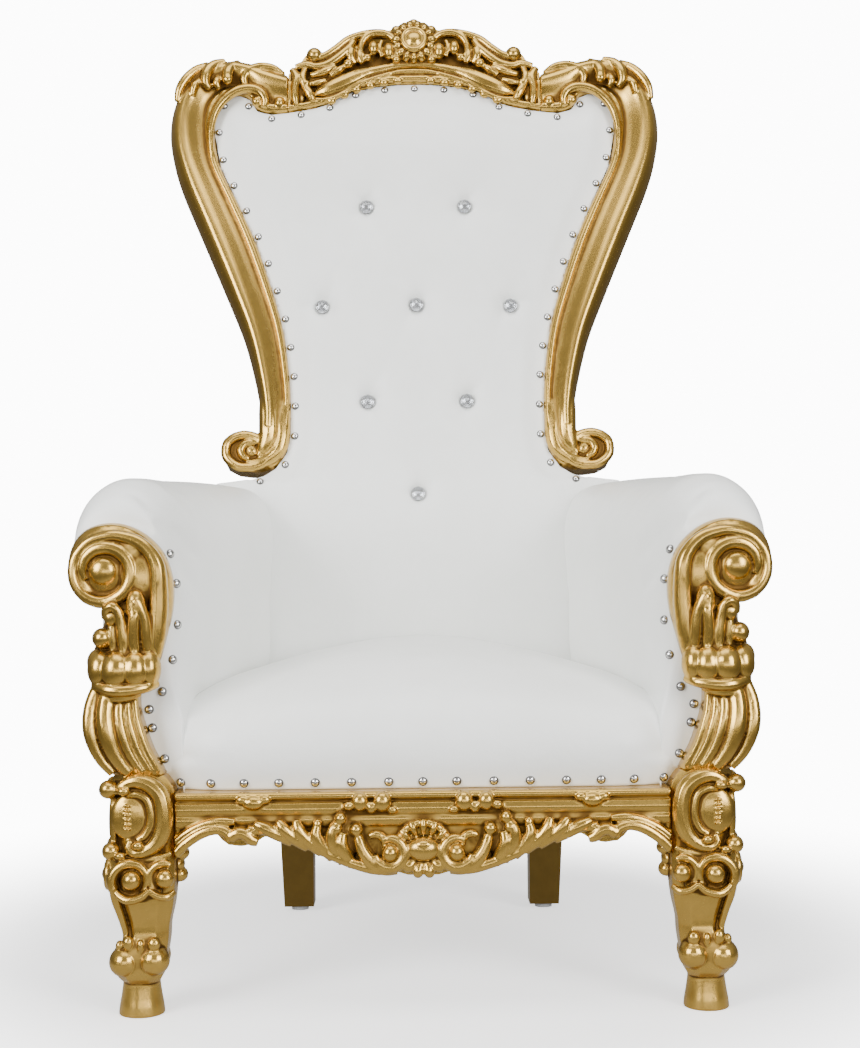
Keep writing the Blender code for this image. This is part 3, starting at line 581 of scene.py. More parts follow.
# %% [markdown]
# ## Arm fronts
# The gold facing of each arm has three parts: a reeded S at the bottom, a gadrooned cup with a leaf
# growing out of it, and the strap that rolls into the big scroll.

# %% The reeded S
ARM_PLACE = Matrix.Translation((0.365, -0.3275, 0.3123)) @ Matrix.Scale(0.001, 4)
S_SECTIONS = ((-6, -34, 34, 46), (0, -31, 41, 50), (14, -24, 54, 54), (30, -16, 63, 57),
              (50, -9, 69, 58), (70, -3, 70, 56), (90, 0, 66, 50), (112, -2, 56, 44))
REEDS = ((0.05, 4.5), (0.18, 5.5), (0.33, 7.0), (0.57, 12.5), (0.86, 9.5))


def s_ring(z, x0, x1, depth):
    width = x1 - x0
    across = [(0, 0), (0, 0.5), (0.06, 0.76), (0.2, 0.86), (0.4, 0.92), (0.6, 0.92), (0.8, 0.80),
              (0.94, 0.58), (1, 0.3), (1, 0)]
    return [(x0 + s * width, -d * 0.90 * depth, z) for s, d in across]


s_blank = blank([s_ring(*ring) for ring in smooth_line(S_SECTIONS, 4)])
reeds = strokes([[(x0 + share * (x1 - x0), -(0.80 - 0.70 * (share - 0.5) ** 2) * depth, z,
                   thick * (0.66 + 0.34 * min(1, z / 50)))
                  for z, x0, x1, depth in S_SECTIONS[1:]] for share, thick in REEDS], flat=0.9)

# %% The strap and its scroll
VOLUTE_EYE = (43, 258)
STEM = ((-6, 108), (58, 108), (60, 150), (48, 184), (41, 207), (56, 210), (75, 219), (88, 239),
        (92, 263), (86, 290), (70, 310), (47, 319), (20, 318), (-8, 305), (-31, 281), (-43, 247),
        (-43, 208), (-34, 170), (-23, 134))
stem = bevelled(smooth_line([*STEM, STEM[0]], 5)[:-1], ((0, 0), (-12, 0), (-22, 3), (-28, 9)))
STRAP_ROLL = [(178, 70, 11), (160, 65, 9.5), (140, 58, 8.5), (118, 50, 7.5), (90, 43.5, 7),
              (45, 40, 6.5), (0, 39, 6.5), (-45, 40, 7), (-90, 40, 8), (-135, 38, 9), (-180, 36, 9.5),
              (-225, 33, 9.5), (-270, 30, 9), (-315, 28, 8), (-355, 26.5, 6), (-385, 25, 3)]
strap = strokes([
    [(-12, -18, 118, 8), (-18, -23, 142, 10.5), (-24, -26, 172, 12.5), (-27, -27, 202, 13),
     (-28, -28, 228, 12.5), *scroll(VOLUTE_EYE, STRAP_ROLL, -31)],
    scroll(VOLUTE_EYE, [(150, 46, 2), (125, 40, 8), (90, 35, 9), (45, 32, 9), (0, 31, 9), (-45, 32, 8),
                        (-80, 33, 3)], -25)], flat=0.95)
hollow_fill = beads([((-2, -25, 250), (26, 12, 38)), ((8, -25, 284), (24, 11, 20)),
                     ((10, -23, 182), (32, 15, 38)), ((14, -22, 134), (42, 20, 21))])
eye = beads([((43, -28, 258), (19, 12, 19)), ((43, -20, 258), (32, 14, 32))])

# %% The cup, the leaf and the curl
cup = beads([((-15, -30, 132), (16, 19, 24)), ((2, -36, 131), (20, 21, 25)),
             ((25, -38, 131), (21, 21, 25)), ((46, -31, 132), (18, 19, 24))])
cup_rims = strokes([[(-24, -26, 113, 6), (-12, -41, 109, 7), (12, -49, 106, 8), (34, -47, 107, 8),
                     (55, -33, 113, 6)],
                    [(-5, -36, 101, 4), (12, -43, 97, 6), (34, -43, 97, 6), (50, -32, 101, 5)],
                    [(-24, -20, 150, 4), (-6, -32, 153, 5), (16, -35, 153, 5), (36, -32, 152, 5),
                     (54, -20, 149, 4)]])
leaf = strokes([[(-13, -30, 150, 7), (-13, -35, 172, 8), (-11, -38, 194, 8), (-5, -41, 212, 8),
                 (1, -43, 222, 7)],
                [(2, -36, 150, 7.5), (3, -39, 174, 8), (2, -42, 192, 7.5), (1, -43, 205, 7)],
                [(15, -36, 150, 7.5), (17, -38, 174, 8), (19, -40, 192, 7), (22, -42, 206, 6.5),
                 (30, -43, 213, 6.5), (38, -40, 208, 6), (39, -37, 197, 5)],
                [(29, -32, 150, 6), (30, -34, 170, 6.5), (31, -35, 188, 6)]])
arm_beads = beads([((0, -38, 212), (13, 11, 22)), ((31, -35, 199), (11, 10, 12)),
                   ((44, -31, 172), (13.5, 15, 13.5)), ((52, -26, 141), (13, 16, 17))])
arm = carve("arm_front_right_carved", [s_blank, reeds, stem, strap, hollow_fill, eye, cup, cup_rims,
                                       leaf, arm_beads],
            1.7, ARM_PLACE, soften=3, full=2.4, trim=[((0, 0, -4), (0, 0, -1)), ((0, 0, 0), (0, 1, 0))])
left_front = other_side(arm, "arm_front_left_carved")
stands_for(arm, "arm_front_right")
stands_for(left_front, "arm_front_left")

# %% [markdown]
# ## Front rail
# The rail is a moulded board whose lower edge is carved into an apron: a fan shell in the middle, a
# fat C-scroll on each side of it, and acanthus blades that sweep outwards over an arch.

# %% The rail's board and mouldings
RAIL_PLACE = Matrix.Translation((0, -0.3605, 0.285)) @ Matrix.Diagonal((0.3177 / 322, 0.001, 0.001, 1))
APRON = ((322, -85), (306, -69), (286, -56), (269, -52), (261, -61), (253, -67), (236, -69), (220, -66),
         (206, -57), (190, -59), (168, -66), (146, -76), (120, -87), (90, -99), (60, -106), (34, -104),
         (20, -108))
rail_board = board([(322, 0), *APRON, *((-x, z) for x, z in reversed(APRON)), (-322, 0)], 1, 50)
mouldings = strokes([[(-322, 0, -5, 4.5), (322, 0, -5, 4.5)], [(-322, 8, -22, 12), (322, 8, -22, 12)],
                     [(-322, 11, -36, 14), (322, 11, -36, 14)]])
arch = strokes(both_sides([
    [(322, -1, -77, 7.5), (306, -3, -62, 7.5), (286, -4, -50, 7.5), (268, -5, -46, 7),
     (254, -6, -50, 7.5), (250, -6, -60, 7)],
    [(322, 0, -62, 6), (304, -1, -49, 6), (284, -2, -40, 6), (264, -3, -36, 6), (244, -3, -37, 5)],
    [(250, -7, -56, 8), (240, -8, -50, 8), (230, -8, -52, 8), (222, -7, -59, 8), (214, -6, -62, 6)],
    [(226, -6, -48, 7), (208, -5, -47, 7), (188, -5, -51, 7), (164, -5, -60, 7), (140, -5, -70, 7),
     (114, -6, -82, 7), (88, -6, -92, 7), (60, -7, -99, 7), (38, -7, -97, 6), (28, -6, -88, 5)]]))

# %% Acanthus, scrolls and shell of the rail
BLADES = (((92, -94), (101, -78), (106, -64), (103, -52)),
          ((104, -90), (116, -68), (118, -50), (107, -36)),
          ((118, -84), (132, -68), (139, -53), (136, -41)),
          ((132, -77), (150, -61), (161, -47), (165, -35)),
          ((150, -70), (168, -57), (181, -45), (188, -36)),
          ((170, -63), (190, -52), (206, -44), (218, -39)))
blades = strokes(both_sides([[(a[0], -2, a[1], 7), (b[0], -7, b[1], 8.5), (c[0], -9, c[1], 8),
                              (d[0], -7, d[1], 5.5)]
                             for a, b, c, d in BLADES]))
rail_scrolls = strokes(both_sides([
    [(86, -3, -50, 5), (83, -6, -62, 7.5), (77, -7, -77, 9), (66, -7, -90, 9.5), (51, -6, -98, 9),
     (34, -5, -99, 7)],
    scroll((44, -77), [(55, 17, 4), (100, 18, 6), (150, 18.5, 7.5), (205, 19, 8.5), (260, 19, 8.5),
                       (310, 19, 8), (350, 20, 6)], -9),
    scroll((62, -66), [(200, 11, 4), (150, 12, 5.5), (95, 12, 5.5), (50, 12, 4)], -7)]))
rail_beads = beads(both_sides([
    ((101, -1, -62), (17, 7, 27)), ((43, -11, -77), (11.5, 12, 11.5)), ((87, -6, -48), (9, 9, 9)),
    ((53, -5, -13), (12, 10, 13)), ((82, -5, -13), (11, 9, 12)), ((67, -5, -20), (7, 7, 8)),
    ((97, -5, -18), (7, 6, 6)), ((40, -3, -24), (7, 5, 5)), ((220, -4, -13), (14, 8, 9)),
    ((206, -3, -9), (9, 6, 6)), ((234, -3, -9), (9, 6, 6)), ((107, -9, -33), (8, 8, 8)),
    ((112, -10, -46), (7, 7, 7)), ((137, -8, -40), (6, 6, 7))]))
shell = strokes([
    *fan(-74, ((23, 21, -6, 3.5), (31, 30, -9, 4.5), (37, 37, -6, 5)), range(15, 166, 25)),
    *fan(-76, ((16, 16, -7, 5), (27, 26, -9, 7.5), (31, 31, -5, 6)), range(-165, -14, 30)),
    [(34 * math.cos(a), -5, -74 + 34 * math.sin(a), 5) for a in map(math.radians, range(5, 176, 17))]])
shell_eye = beads([((0, -9, -73), (22, 13, 16)), ((0, -15, -66), (12, 7, 6))])
rail = carve("front_rail_carved", [rail_board, mouldings, arch, blades, rail_scrolls, rail_beads, shell,
                                   shell_eye],
             1.8, RAIL_PLACE, full=3.2, trim=[((322.0, 0, 0), (1, 0, 0)), ((-322.0, 0, 0), (-1, 0, 0))])
stands_for(rail, "front_rail")

# %% [markdown]
# ## Posts
# The tall posts are one long moulding: a thin lip beside the upholstery and a fat roll outside,
# swept up the waisted outline and over the shoulder. Each ends below in a scroll. The same profile
# is set on every station of the outline, and smooth_line adds the stations in between.

# %% The posts' moulding
BACK_TILT = Matrix.Translation((0, 0.0442, 0)) @ Matrix.Rotation(-math.radians(11.1), 4, "X")
BACK_PLACE = BACK_TILT @ Matrix.Scale(0.001, 4)
STATIONS = ((258, 806, 207, 800), (258, 836, 207, 834), (267, 888, 209, 889), (287, 963, 220, 973),
            (321, 1049, 241, 1050), (361, 1145, 267, 1127), (397, 1233, 296, 1194),
            (412, 1290, 328, 1263), (416, 1330, 339, 1325), (411, 1370, 338, 1358),
            (395, 1407, 331, 1378), (361, 1443, 315, 1391), (315, 1457, 297, 1393),
            (285, 1454, 281, 1386), (262, 1449, 267, 1366), (240, 1441, 243, 1358),
            (215.3, 1430, 215.3, 1359))
PROFILE = ((0, 0), (0.02, -8), (0.06, -12), (0.11, -14), (0.17, -13), (0.21, -9), (0.25, -8.5),
           (0.30, -11), (0.38, -14), (0.46, -18), (0.54, -22), (0.62, -25), (0.70, -26), (0.77, -25),
           (0.84, -21), (0.90, -14), (0.95, -5), (0.985, 6), (1.0, 18), (1.0, 36), (0.97, 48),
           (0.88, 58), (0.6, 60), (0.2, 60), (0, 58))
post = blank([[(xi + t * (xo - xi), y, zi + t * (zo - zi)) for t, y in PROFILE]
              for xo, zo, xi, zi in smooth_line(STATIONS, 5)])

# %% The post's scroll and leaves
VOLUTE = (277, 768)
VOLUTE_RIM = ((-90, 32), (-60, 34), (-30, 40), (0, 43), (30, 40), (60, 34), (90, 33), (115, 36),
              (140, 52), (160, 66), (172, 67), (190, 62), (210, 53), (235, 40), (260, 33))
volute_disc = bevelled([(VOLUTE[0] + r * math.cos(math.radians(a)),
                         VOLUTE[1] + r * math.sin(math.radians(a))) for a, r in VOLUTE_RIM],
                       ((58, 4), (52, 0), (8, 0), (0, 2), (-6, 8)))
volute = strokes([
    [(214, -1, 872, 5), (218, -1, 842, 12), (222, -2, 812, 15), (222, -3, 790, 15), (227, -4, 770, 14),
     (239, -4, 757, 12), (256, -4, 748, 10), (276, -4, 745, 8)],
    [(245, -8, 890, 6), (243, -8, 862, 13), (243, -8, 838, 16), (242, -8, 812, 17), (243, -7, 790, 16),
     (249, -6, 774, 13), (256, -4, 764, 9)],
    scroll(VOLUTE, [(150, 40, 6), (195, 38, 7), (235, 31, 8), (270, 28, 8), (310, 31, 8), (345, 35, 8),
                    (380, 34.5, 8), (420, 28, 8), (455, 25, 8), (495, 25, 8), (530, 25, 7),
                    (570, 20, 6)], -7),
    [(266, 0, 762, 9), (270, -1, 768, 11), (274, 0, 774, 9)],
    scroll((269, 768), [(-75, 15, 4), (-35, 17, 6.5), (0, 18, 7), (35, 16, 6.5), (80, 13, 5),
                        (120, 12, 4)], -10)])
shoulder = strokes([
    [(339, -9, 1262, 3), (344, -12, 1300, 5), (343, -14, 1335, 6.5), (334, -15, 1364, 7.5),
     (318, -16, 1384, 8), (298, -17, 1396, 8.5), (276, -17, 1399, 8.5), (260, -16, 1392, 8),
     (253, -14, 1378, 7), (256, -12, 1367, 5)],
    [(222, -12, 1426, 5), (240, -17, 1436, 7), (262, -18, 1438, 8), (281, -18, 1431, 8),
     (289, -17, 1417, 7.5), (285, -15, 1405, 5)],
    [(217, -9, 1398, 5), (232, -12, 1407, 6), (250, -13, 1410, 5.5), (268, -13, 1406, 4)],
    [(298, -14, 1447, 6), (310, -20, 1438, 8), (316, -24, 1424, 9.5), (316, -22, 1411, 9)],
    [(322, -16, 1449, 6), (340, -22, 1440, 8.5), (351, -26, 1424, 9), (353, -25, 1407, 8),
     (346, -21, 1396, 5)],
    [(350, -16, 1443, 6), (369, -22, 1431, 8), (386, -25, 1413, 8.5), (397, -24, 1394, 7.5),
     (401, -20, 1374, 5)],
    [(331, -20, 1420, 5), (335, -24, 1407, 6.5), (330, -20, 1396, 4.5)],
    [(362, -22, 1412, 5), (372, -25, 1400, 6.5), (376, -22, 1384, 5)]])
shoulder_beads = beads([((252, -9, 1421), (26, 8, 11)), ((268, -10, 1378), (8.5, 9, 9)),
                        ((229, -10, 1376), (9, 9, 11)), ((316, -26, 1412), (9, 8, 10))])
post_piece = carve("back_post_right_carved", [post, volute_disc, volute, shoulder, shoulder_beads], 2.2,
                   BACK_PLACE, soften=3, full=3.6, trim=[((0, 60, 0), (0, 1, 0))])
left_post = other_side(post_piece, "back_post_left_carved")
stands_for(post_piece, "back_post_right")
stands_for(left_post, "back_post_left")

# %% [markdown]
# ## Crest rail
# The crest carries the finest carving: a rosette in the middle, a horseshoe scroll on each side of
# it, a swan's-neck stem that falls to the posts, and a smooth cove above a scalloped lip.

# %% The crest's board and cove
CREST_TOP = ((215, 1431), (207, 1441), (196, 1450), (186, 1466), (172, 1470), (161, 1457), (150, 1462),
             (124, 1481), (108, 1496), (90, 1505), (70, 1507), (54, 1503), (44, 1512), (20, 1521),
             (0, 1525))
CREST_FOOT = ((215, 1360), (189, 1364), (166, 1369), (146, 1376), (126, 1389), (105, 1400), (63, 1409),
              (26, 1413), (0, 1413))
crest_outline = [*CREST_TOP, *((-x, z) for x, z in reversed(CREST_TOP[:-1])),
                 *((-x, z) for x, z in CREST_FOOT), *reversed(CREST_FOOT[:-1])]
crest_board = board(crest_outline, -4, 60)
cove = strokes(both_sides([
    [(168, -6, 1394, 6), (152, -8, 1398, 12), (134, -9, 1405, 15), (114, -9, 1414, 16),
     (94, -9, 1424, 14), (76, -8, 1432, 10), (54, -7, 1438, 9), (34, -6, 1443, 8), (12, -6, 1446, 7),
     (0, -6, 1446, 7)]]), flat=0.85)
lips = strokes([[(x, -8, z + 7, 6) for x, z in (*((-x, z) for x, z in CREST_FOOT),
                                                *reversed(CREST_FOOT[:-1]))],
                [(-44, -10, 1427, 3.5), (-24, -11, 1431, 4.5), (0, -11, 1432, 4.5),
                 (24, -11, 1431, 4.5), (44, -10, 1427, 3.5)],
                *both_sides([[(40, -11, 1428, 4), (62, -12, 1421, 4), (86, -12, 1412, 4),
                              (112, -12, 1397, 4), (134, -12, 1385, 4), (156, -11, 1380, 4),
                              (174, -10, 1384, 3)]])])

# %% Scrolls, stems and rosette of the crest
crest_strokes = strokes(both_sides([
    scroll((60, 1472), [(-40, 30, 3.5), (0, 31, 5.5), (45, 31, 6.5), (90, 30, 7), (135, 31, 6.5),
                        (180, 31, 6), (220, 30, 4)], -14),
    [(92, -13, 1472, 5), (93, -14, 1458, 6), (88, -13, 1446, 5)],
    [(55, -13, 1488, 3.5), (58, -14, 1474, 4), (55, -13, 1458, 3.5)],
    [(182, -12, 1462, 6), (166, -14, 1456, 7), (149, -15, 1461, 7), (131, -15, 1474, 7),
     (112, -14, 1490, 7), (88, -14, 1500, 6), (64, -13, 1505, 5), (42, -12, 1503, 4)],
    [(202, -11, 1440, 6), (184, -13, 1444, 7), (166, -14, 1440, 7), (146, -15, 1444, 8),
     (126, -16, 1458, 8), (112, -16, 1472, 7), (102, -15, 1487, 5)],
    [(100, -12, 1446, 5), (108, -15, 1458, 8), (106, -15, 1472, 7)],
    [(208, -11, 1436, 6), (200, -14, 1420, 8), (203, -15, 1400, 7), (202, -14, 1382, 7),
     (200, -12, 1370, 5)],
    [(186, -12, 1436, 5), (190, -15, 1420, 7), (186, -15, 1404, 6.5), (178, -14, 1390, 8),
     (172, -12, 1378, 6)],
    [(214, -10, 1372, 5), (212, -12, 1390, 5), (214, -12, 1412, 6)],
    [(134, -15, 1440, 5), (148, -18, 1431, 7), (162, -17, 1426, 6), (176, -14, 1424, 5)],
    [(118, -14, 1440, 5), (128, -17, 1432, 6), (142, -15, 1422, 4)],
    [(150, -13, 1416, 4), (164, -15, 1410, 5), (178, -13, 1408, 4)]]))
crest_beads = beads(both_sides([
    ((170, -14, 1461), (13.5, 13, 13)), ((43, -14, 1468), (10, 10, 15)), ((69, -14, 1474), (9, 9, 13)),
    ((112, -16, 1444), (9, 8, 8)), ((30, -10, 1508), (9, 8, 9)), ((16, -10, 1515), (8, 8, 8)),
    ((80, -14, 1456), (8, 7, 7)), ((184, -14, 1408), (8, 8, 7)), ((30, -13, 1452), (8, 8, 7)),
    ((199, -5, 1400), (15, 8, 30)), ((157, -6, 1417), (24, 8, 14)),
    *(((x, -10, z), (8, 6, 7)) for x, z in ((28, 1416), (52, 1412), (75, 1407), (98, 1400), (119, 1390),
                                            (141, 1379)))]))
rosette = strokes(fan(1485, ((22, 22, -16, 4), (30, 30, -17, 6.5), (36, 36, -11, 6)),
                      range(-90, 270, 24)))
rosette_dome = beads([((0, -20, 1485), (17, 11, 17)), ((0, -10, 1521), (9, 9, 8))])
ring = strokes([scroll((0, 1485), [(0, 19, 5), (180, 19, 5), (360, 19, 5)], -23)])
crest = carve("crest_rail_carved", [crest_board, cove, lips, crest_strokes, crest_beads, rosette,
                                    rosette_dome, ring], 1.6, BACK_PLACE,
              trim=[((215.0, 0, 0), (1, 0, 0)), ((-215.0, 0, 0), (-1, 0, 0)), ((0, 60, 0), (0, 1, 0))])
stands_for(crest, "crest_rail")

# %% [markdown]
# ## Soft pieces
# Every cushion starts as a copy of the model's plain solid, covered with an even skin of small
# square cells by voxel remesh. A vertex group called held says where the cover is nailed or
# stapled: 1 is fast, 0 is free. The free part is softened, then twenty frames of cloth simulation
# with pressure and no gravity may swell the cover, and each point keeps only the part of its move
# that stays within a reach of some millimetres. The farthest move is printed. It is small on the
# seat and meets the reach on the arm. On the back it is nothing, so that cover is shaped by
# formulas and smoothing alone.

# %% Reading and writing points
def points_of(mesh):
    found = np.empty(len(mesh.vertices) * 3)
    mesh.vertices.foreach_get("co", found)
    return found.reshape(-1, 3)


def move_points(mesh, places):
    mesh.vertices.foreach_set("co", np.ascontiguousarray(places, dtype=np.float32).ravel())
    mesh.update()


def step(values, low, high):
    """0 below low, 1 above high, smooth in between."""
    share = np.clip((values - low) / (high - low), 0, 1)
    return share * share * (3 - 2 * share)


# %% Skin, hold and swelling
def skin(node, name, cell):
    piece = bpy.data.objects.new(name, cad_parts[node].data.copy())
    bpy.context.scene.collection.objects.link(piece)
    face_outwards(piece, weld=0.00002)
    piece.data.remesh_voxel_size = cell
    piece.data.remesh_voxel_adaptivity = 0
    bpy.ops.object.voxel_remesh()
    piece.data.materials.clear()
    piece.data.materials.append(white)
    return piece


def hold(piece, weights):
    """Two vertex groups from an array: held, and its opposite, free."""
    for title, values in (("held", weights), ("free", 1 - weights)):
        group = piece.vertex_groups.get(title) or piece.vertex_groups.new(name=title)
        levels = np.clip(np.round(values * 20), 0, 20).astype(int)
        for level in range(21):
            chosen = np.nonzero(levels == level)[0].tolist()
            if chosen:
                group.add(chosen, level / 20, "REPLACE")


def swell(piece, reach, pressure=4.0, frames=20):
    before = points_of(piece.data)
    pick(piece)
    cloth = piece.modifiers.new("cloth", "CLOTH")
    cloth.settings.use_pressure = True
    cloth.settings.uniform_pressure_force = pressure
    cloth.settings.effector_weights.gravity = 0
    cloth.settings.vertex_group_mass = "held"
    cloth.settings.quality = 4
    cloth.point_cache.frame_end = frames
    for number in range(1, frames + 1):
        bpy.context.scene.frame_set(number)
    bpy.ops.object.modifier_apply(modifier=cloth.name)
    bpy.context.scene.frame_set(1)
    move = points_of(piece.data) - before
    length = np.linalg.norm(move, axis=1, keepdims=True)
    move_points(piece.data, before + move * np.minimum(1, reach / np.maximum(length, 1e-9)))
    print(f"{piece.name}: swelled by up to {1000 * min(reach, float(length.max())):.1f} mm")


def soft_finish(piece, nodes_replaced):
    piece.vertex_groups.clear()
    pick(piece)
    bpy.ops.object.shade_smooth()
    stands_for(piece, nodes_replaced)
    print(f"{piece.name}: {triangles(piece)} triangles")


# %% [markdown]
# ### Seat
# The seat is a tight crowned cushion. At the front corners its cover runs on into the facing of
# the arms, so both follow one shared depth there. It is nailed along the rail and pushed down
# between the arms, so those edges are held and the crown is free.

# %% The facing that seat and arms share
ARM_FACE = -0.3275
SEAT_FRONT = -0.3545


def facing(x, z):
    """Depth of the front cover at a point: forward over the rail, back beside the gold."""
    inner = 1 - step(np.abs(x), 0.272, 0.346)
    low = 1 - step(z, 0.350, 0.470)
    return ARM_FACE + (SEAT_FRONT - ARM_FACE) * inner * low


def run_under(piece, side):
    """Push the cover's front corner past the joint, so that no gap opens.

    side is 1 for the seat and -1 for an arm. The seat also fills the leg's rounded inner corner.
    """
    place = points_of(piece.data)
    x, y, z = np.abs(place[:, 0]), place[:, 1], place[:, 2]
    in_front = (1 - step(y, -0.290, -0.230)) * (1 - step(z, 0.370, 0.420))
    if side > 0:
        reach = (0.006 + 0.014 * (1 - step(z, 0.312, 0.330))) * step(x, 0.270, 0.314)
    else:
        reach = -0.007 * (1 - step(x, 0.322, 0.350))
        place[:, 1] += 0.002 * (1 - step(x, 0.320, 0.336)) * in_front
        place[:, 2] -= 0.009 * (1 - step(z, 0.313, 0.345)) * in_front * (1 - step(x, 0.345, 0.370))
    place[:, 0] = np.sign(place[:, 0]) * (x + reach * in_front)
    move_points(piece.data, place)


CELL = 0.0052
seat = skin("seat_cushion", "seat_cover", CELL)
place = points_of(seat.data)
near = 1 - step(place[:, 1], -0.335, -0.235)
place[:, 1] += near * (facing(place[:, 0], place[:, 2]) - SEAT_FRONT)
move_points(seat.data, place)
side = 1 - np.abs(place[:, 0]) / np.interp(place[:, 1], [-0.33, 0.13], [0.318, 0.238])
held = np.maximum(1 - step(place[:, 2], 0.288, 0.312), 1 - step(side, 0.004, 0.05))
held = np.maximum(held, step(place[:, 1], 0.02, 0.06) * 0.6)
hold(seat, held)
apply(seat, "SMOOTH", factor=0.5, iterations=26, vertex_group="free")
swell(seat, 0.009, pressure=4.0)
apply(seat, "SMOOTH", factor=0.5, iterations=6, vertex_group="free")
run_under(seat, 1)
soft_finish(seat, "seat_cushion")

# %% [markdown]
# ### Arms
# Each arm is a padded wall with a roll on top. Its front is a rounded facing that disappears under
# the gold, and its back end meets the back. The front edge is rounded by smoothing before the
# simulation. The bottom, the strip behind the gold and the foot of the side by the seat are held.

# %% The rolled arms
def arm_cover(side, name):
    piece = skin(f"arm_pad_{side}", name, CELL)
    place = points_of(piece.data)
    x = np.abs(place[:, 0])
    near = 1 - step(place[:, 1], -0.322, -0.240)
    place[:, 1] += near * (facing(x, place[:, 2]) - ARM_FACE)
    move_points(piece.data, place)
    low = 1 - step(place[:, 2], 0.290, 0.330)
    in_front = 1 - step(place[:, 1], -0.322, -0.300)
    behind_gold = in_front * step(x, 0.330, 0.350) * (1 - step(place[:, 2], 0.60, 0.63))
    seat_side = (1 - step(x, 0.322, 0.330)) * (1 - step(place[:, 2], 0.36, 0.42))
    held = np.clip(np.maximum.reduce([low, behind_gold * 0.9, seat_side]), 0, 1)
    hold(piece, held)
    apply(piece, "SMOOTH", factor=0.5, iterations=60, vertex_group="free")
    swell(piece, 0.008, pressure=4.0)
    apply(piece, "SMOOTH", factor=0.5, iterations=8, vertex_group="free")
    run_under(piece, -1)
    return piece


right_arm = arm_cover("right", "arm_cover_right")
left_arm = other_side(right_arm, "arm_cover_left")
soft_finish(right_arm, "arm_pad_right")
soft_finish(left_arm, "arm_pad_left")

# %% [markdown]
# ### Tufted back
# Eight crystal buttons pull the cover into the foam. Around each the cover dips and puckers, and
# shallow valleys run to its neighbours. Along the posts the cover is flat for a finger's width
# under the nails, then rises. The crown, the dips and the valleys are all formulas, in the slope
# of the back. The simulation after them moves this cover by less than a tenth of a millimetre.

# %% The back cover
BUTTONS = np.array(((-82, 1186), (82, 1186), (-156, 1013), (0, 1013), (156, 1013), (-81, 848),
                    (81, 848), (0, 693))) * 0.001
VALLEYS = ((0, 2), (0, 3), (1, 3), (1, 4), (2, 5), (3, 5), (3, 6), (4, 6), (5, 7), (6, 7))
COVER_EDGE = ((269, 721), (249, 727), (230, 740), (213, 765), (207, 800), (207, 834), (209, 889),
              (220, 973), (241, 1050), (267, 1127), (296, 1194), (328, 1263), (339, 1325), (338, 1358),
              (331, 1378), (315, 1391), (297, 1393), (281, 1386), (267, 1363), (243, 1356), (215, 1359),
              (189, 1363), (166, 1368), (146, 1375), (126, 1388), (105, 1399), (63, 1408), (26, 1412),
              (0, 1412))
edge_line = np.array(smooth_line([(x * 0.001, z * 0.001) for x, z in COVER_EDGE], 4))
edge_line = np.vstack([edge_line, edge_line[::-1] * (-1, 1)])


def from_line(points, line):
    """Distance of (x, z) points to a chain of points."""
    best = np.full(len(points), 9.0)
    for a, b in zip(line, line[1:]):
        way = b - a
        share = np.clip(((points - a) @ way) / max(way @ way, 1e-12), 0, 1)
        best = np.minimum(best, np.linalg.norm(points - a - share[:, None] * way, axis=1))
    return best


def cover_depth(flat):
    """How far back the cover lies at (x, z) points of the sloping back."""
    rim = from_line(flat, edge_line)
    rim = np.where(flat[:, 1] < 0.72, np.maximum(rim, 0.04), rim)
    puff = -0.006 * step(rim, 0.010, 0.045)
    dip = np.zeros(len(flat))
    for number, (bx, bz) in enumerate(BUTTONS):
        dx, dz = flat[:, 0] - bx, flat[:, 1] - bz
        away = np.hypot(dx, dz)
        turn = np.arctan2(dz, dx)
        pucker = 1 + 0.16 * np.cos(5 * turn + 1.3 * number) * step(away, 0.008, 0.02)
        dip = np.maximum(dip, 0.0170 * pucker * np.exp(-(np.maximum(away - 0.010, 0) / 0.023) ** 0.95))
    for a, b in VALLEYS:
        off = from_line(flat, BUTTONS[[a, b]])
        ends = np.minimum(np.hypot(*(flat - BUTTONS[a]).T), np.hypot(*(flat - BUTTONS[b]).T))
        dip = dip + 0.0028 * np.exp(-(off / 0.010) ** 2) * (0.35 + 0.65 * np.exp(-ends / 0.035))
    return (puff + dip) * step(flat[:, 1], 0.44, 0.62)


BACK_CELL = 0.0050
CROWN = 0.020
back = skin("back_cushion", "back_cover", BACK_CELL)
to_back = np.array(BACK_TILT.inverted())
from_back = np.array(BACK_TILT)
local = points_of(back.data) @ to_back[:3, :3].T + to_back[:3, 3]
flat = local[:, [0, 2]]
post_x, post_z = np.array(COVER_EDGE[4:14]).T * 0.001
beside_posts = np.interp(flat[:, 1], post_z, post_x) + 0.006
half_width = np.where(flat[:, 1] > 0.727, beside_posts, 0.222)
across = np.clip(1 - (np.abs(flat[:, 0]) / half_width) ** 2.4, 0, 1)
along_height = step(flat[:, 1], 0.440, 0.700) * step(1.425 - flat[:, 1], 0, 0.150)
crown_depth = -CROWN * across * along_height
on_front = (local[:, 1] < 0.022) & (flat[:, 1] > 0.43)
local[:, 1] = np.where(on_front, crown_depth + cover_depth(flat), local[:, 1])
move_points(back.data, local @ from_back[:3, :3].T + from_back[:3, 3])
from_button = np.min([np.hypot(*(flat - b).T) for b in BUTTONS], axis=0)
rim = np.where(flat[:, 1] < 0.71, 0.05, from_line(flat, edge_line))
held = np.maximum.reduce([1 - step(from_button, 0.009, 0.016), 1 - step(rim, 0.008, 0.016),
                          step(local[:, 1], 0.012, 0.024), 1 - step(flat[:, 1], 0.43, 0.60)])
hold(back, held)
apply(back, "SMOOTH", factor=0.5, iterations=5, vertex_group="free")
swell(back, 0.006, pressure=3.0)
apply(back, "SMOOTH", factor=0.5, iterations=3, vertex_group="free")
soft_finish(back, "back_cushion")

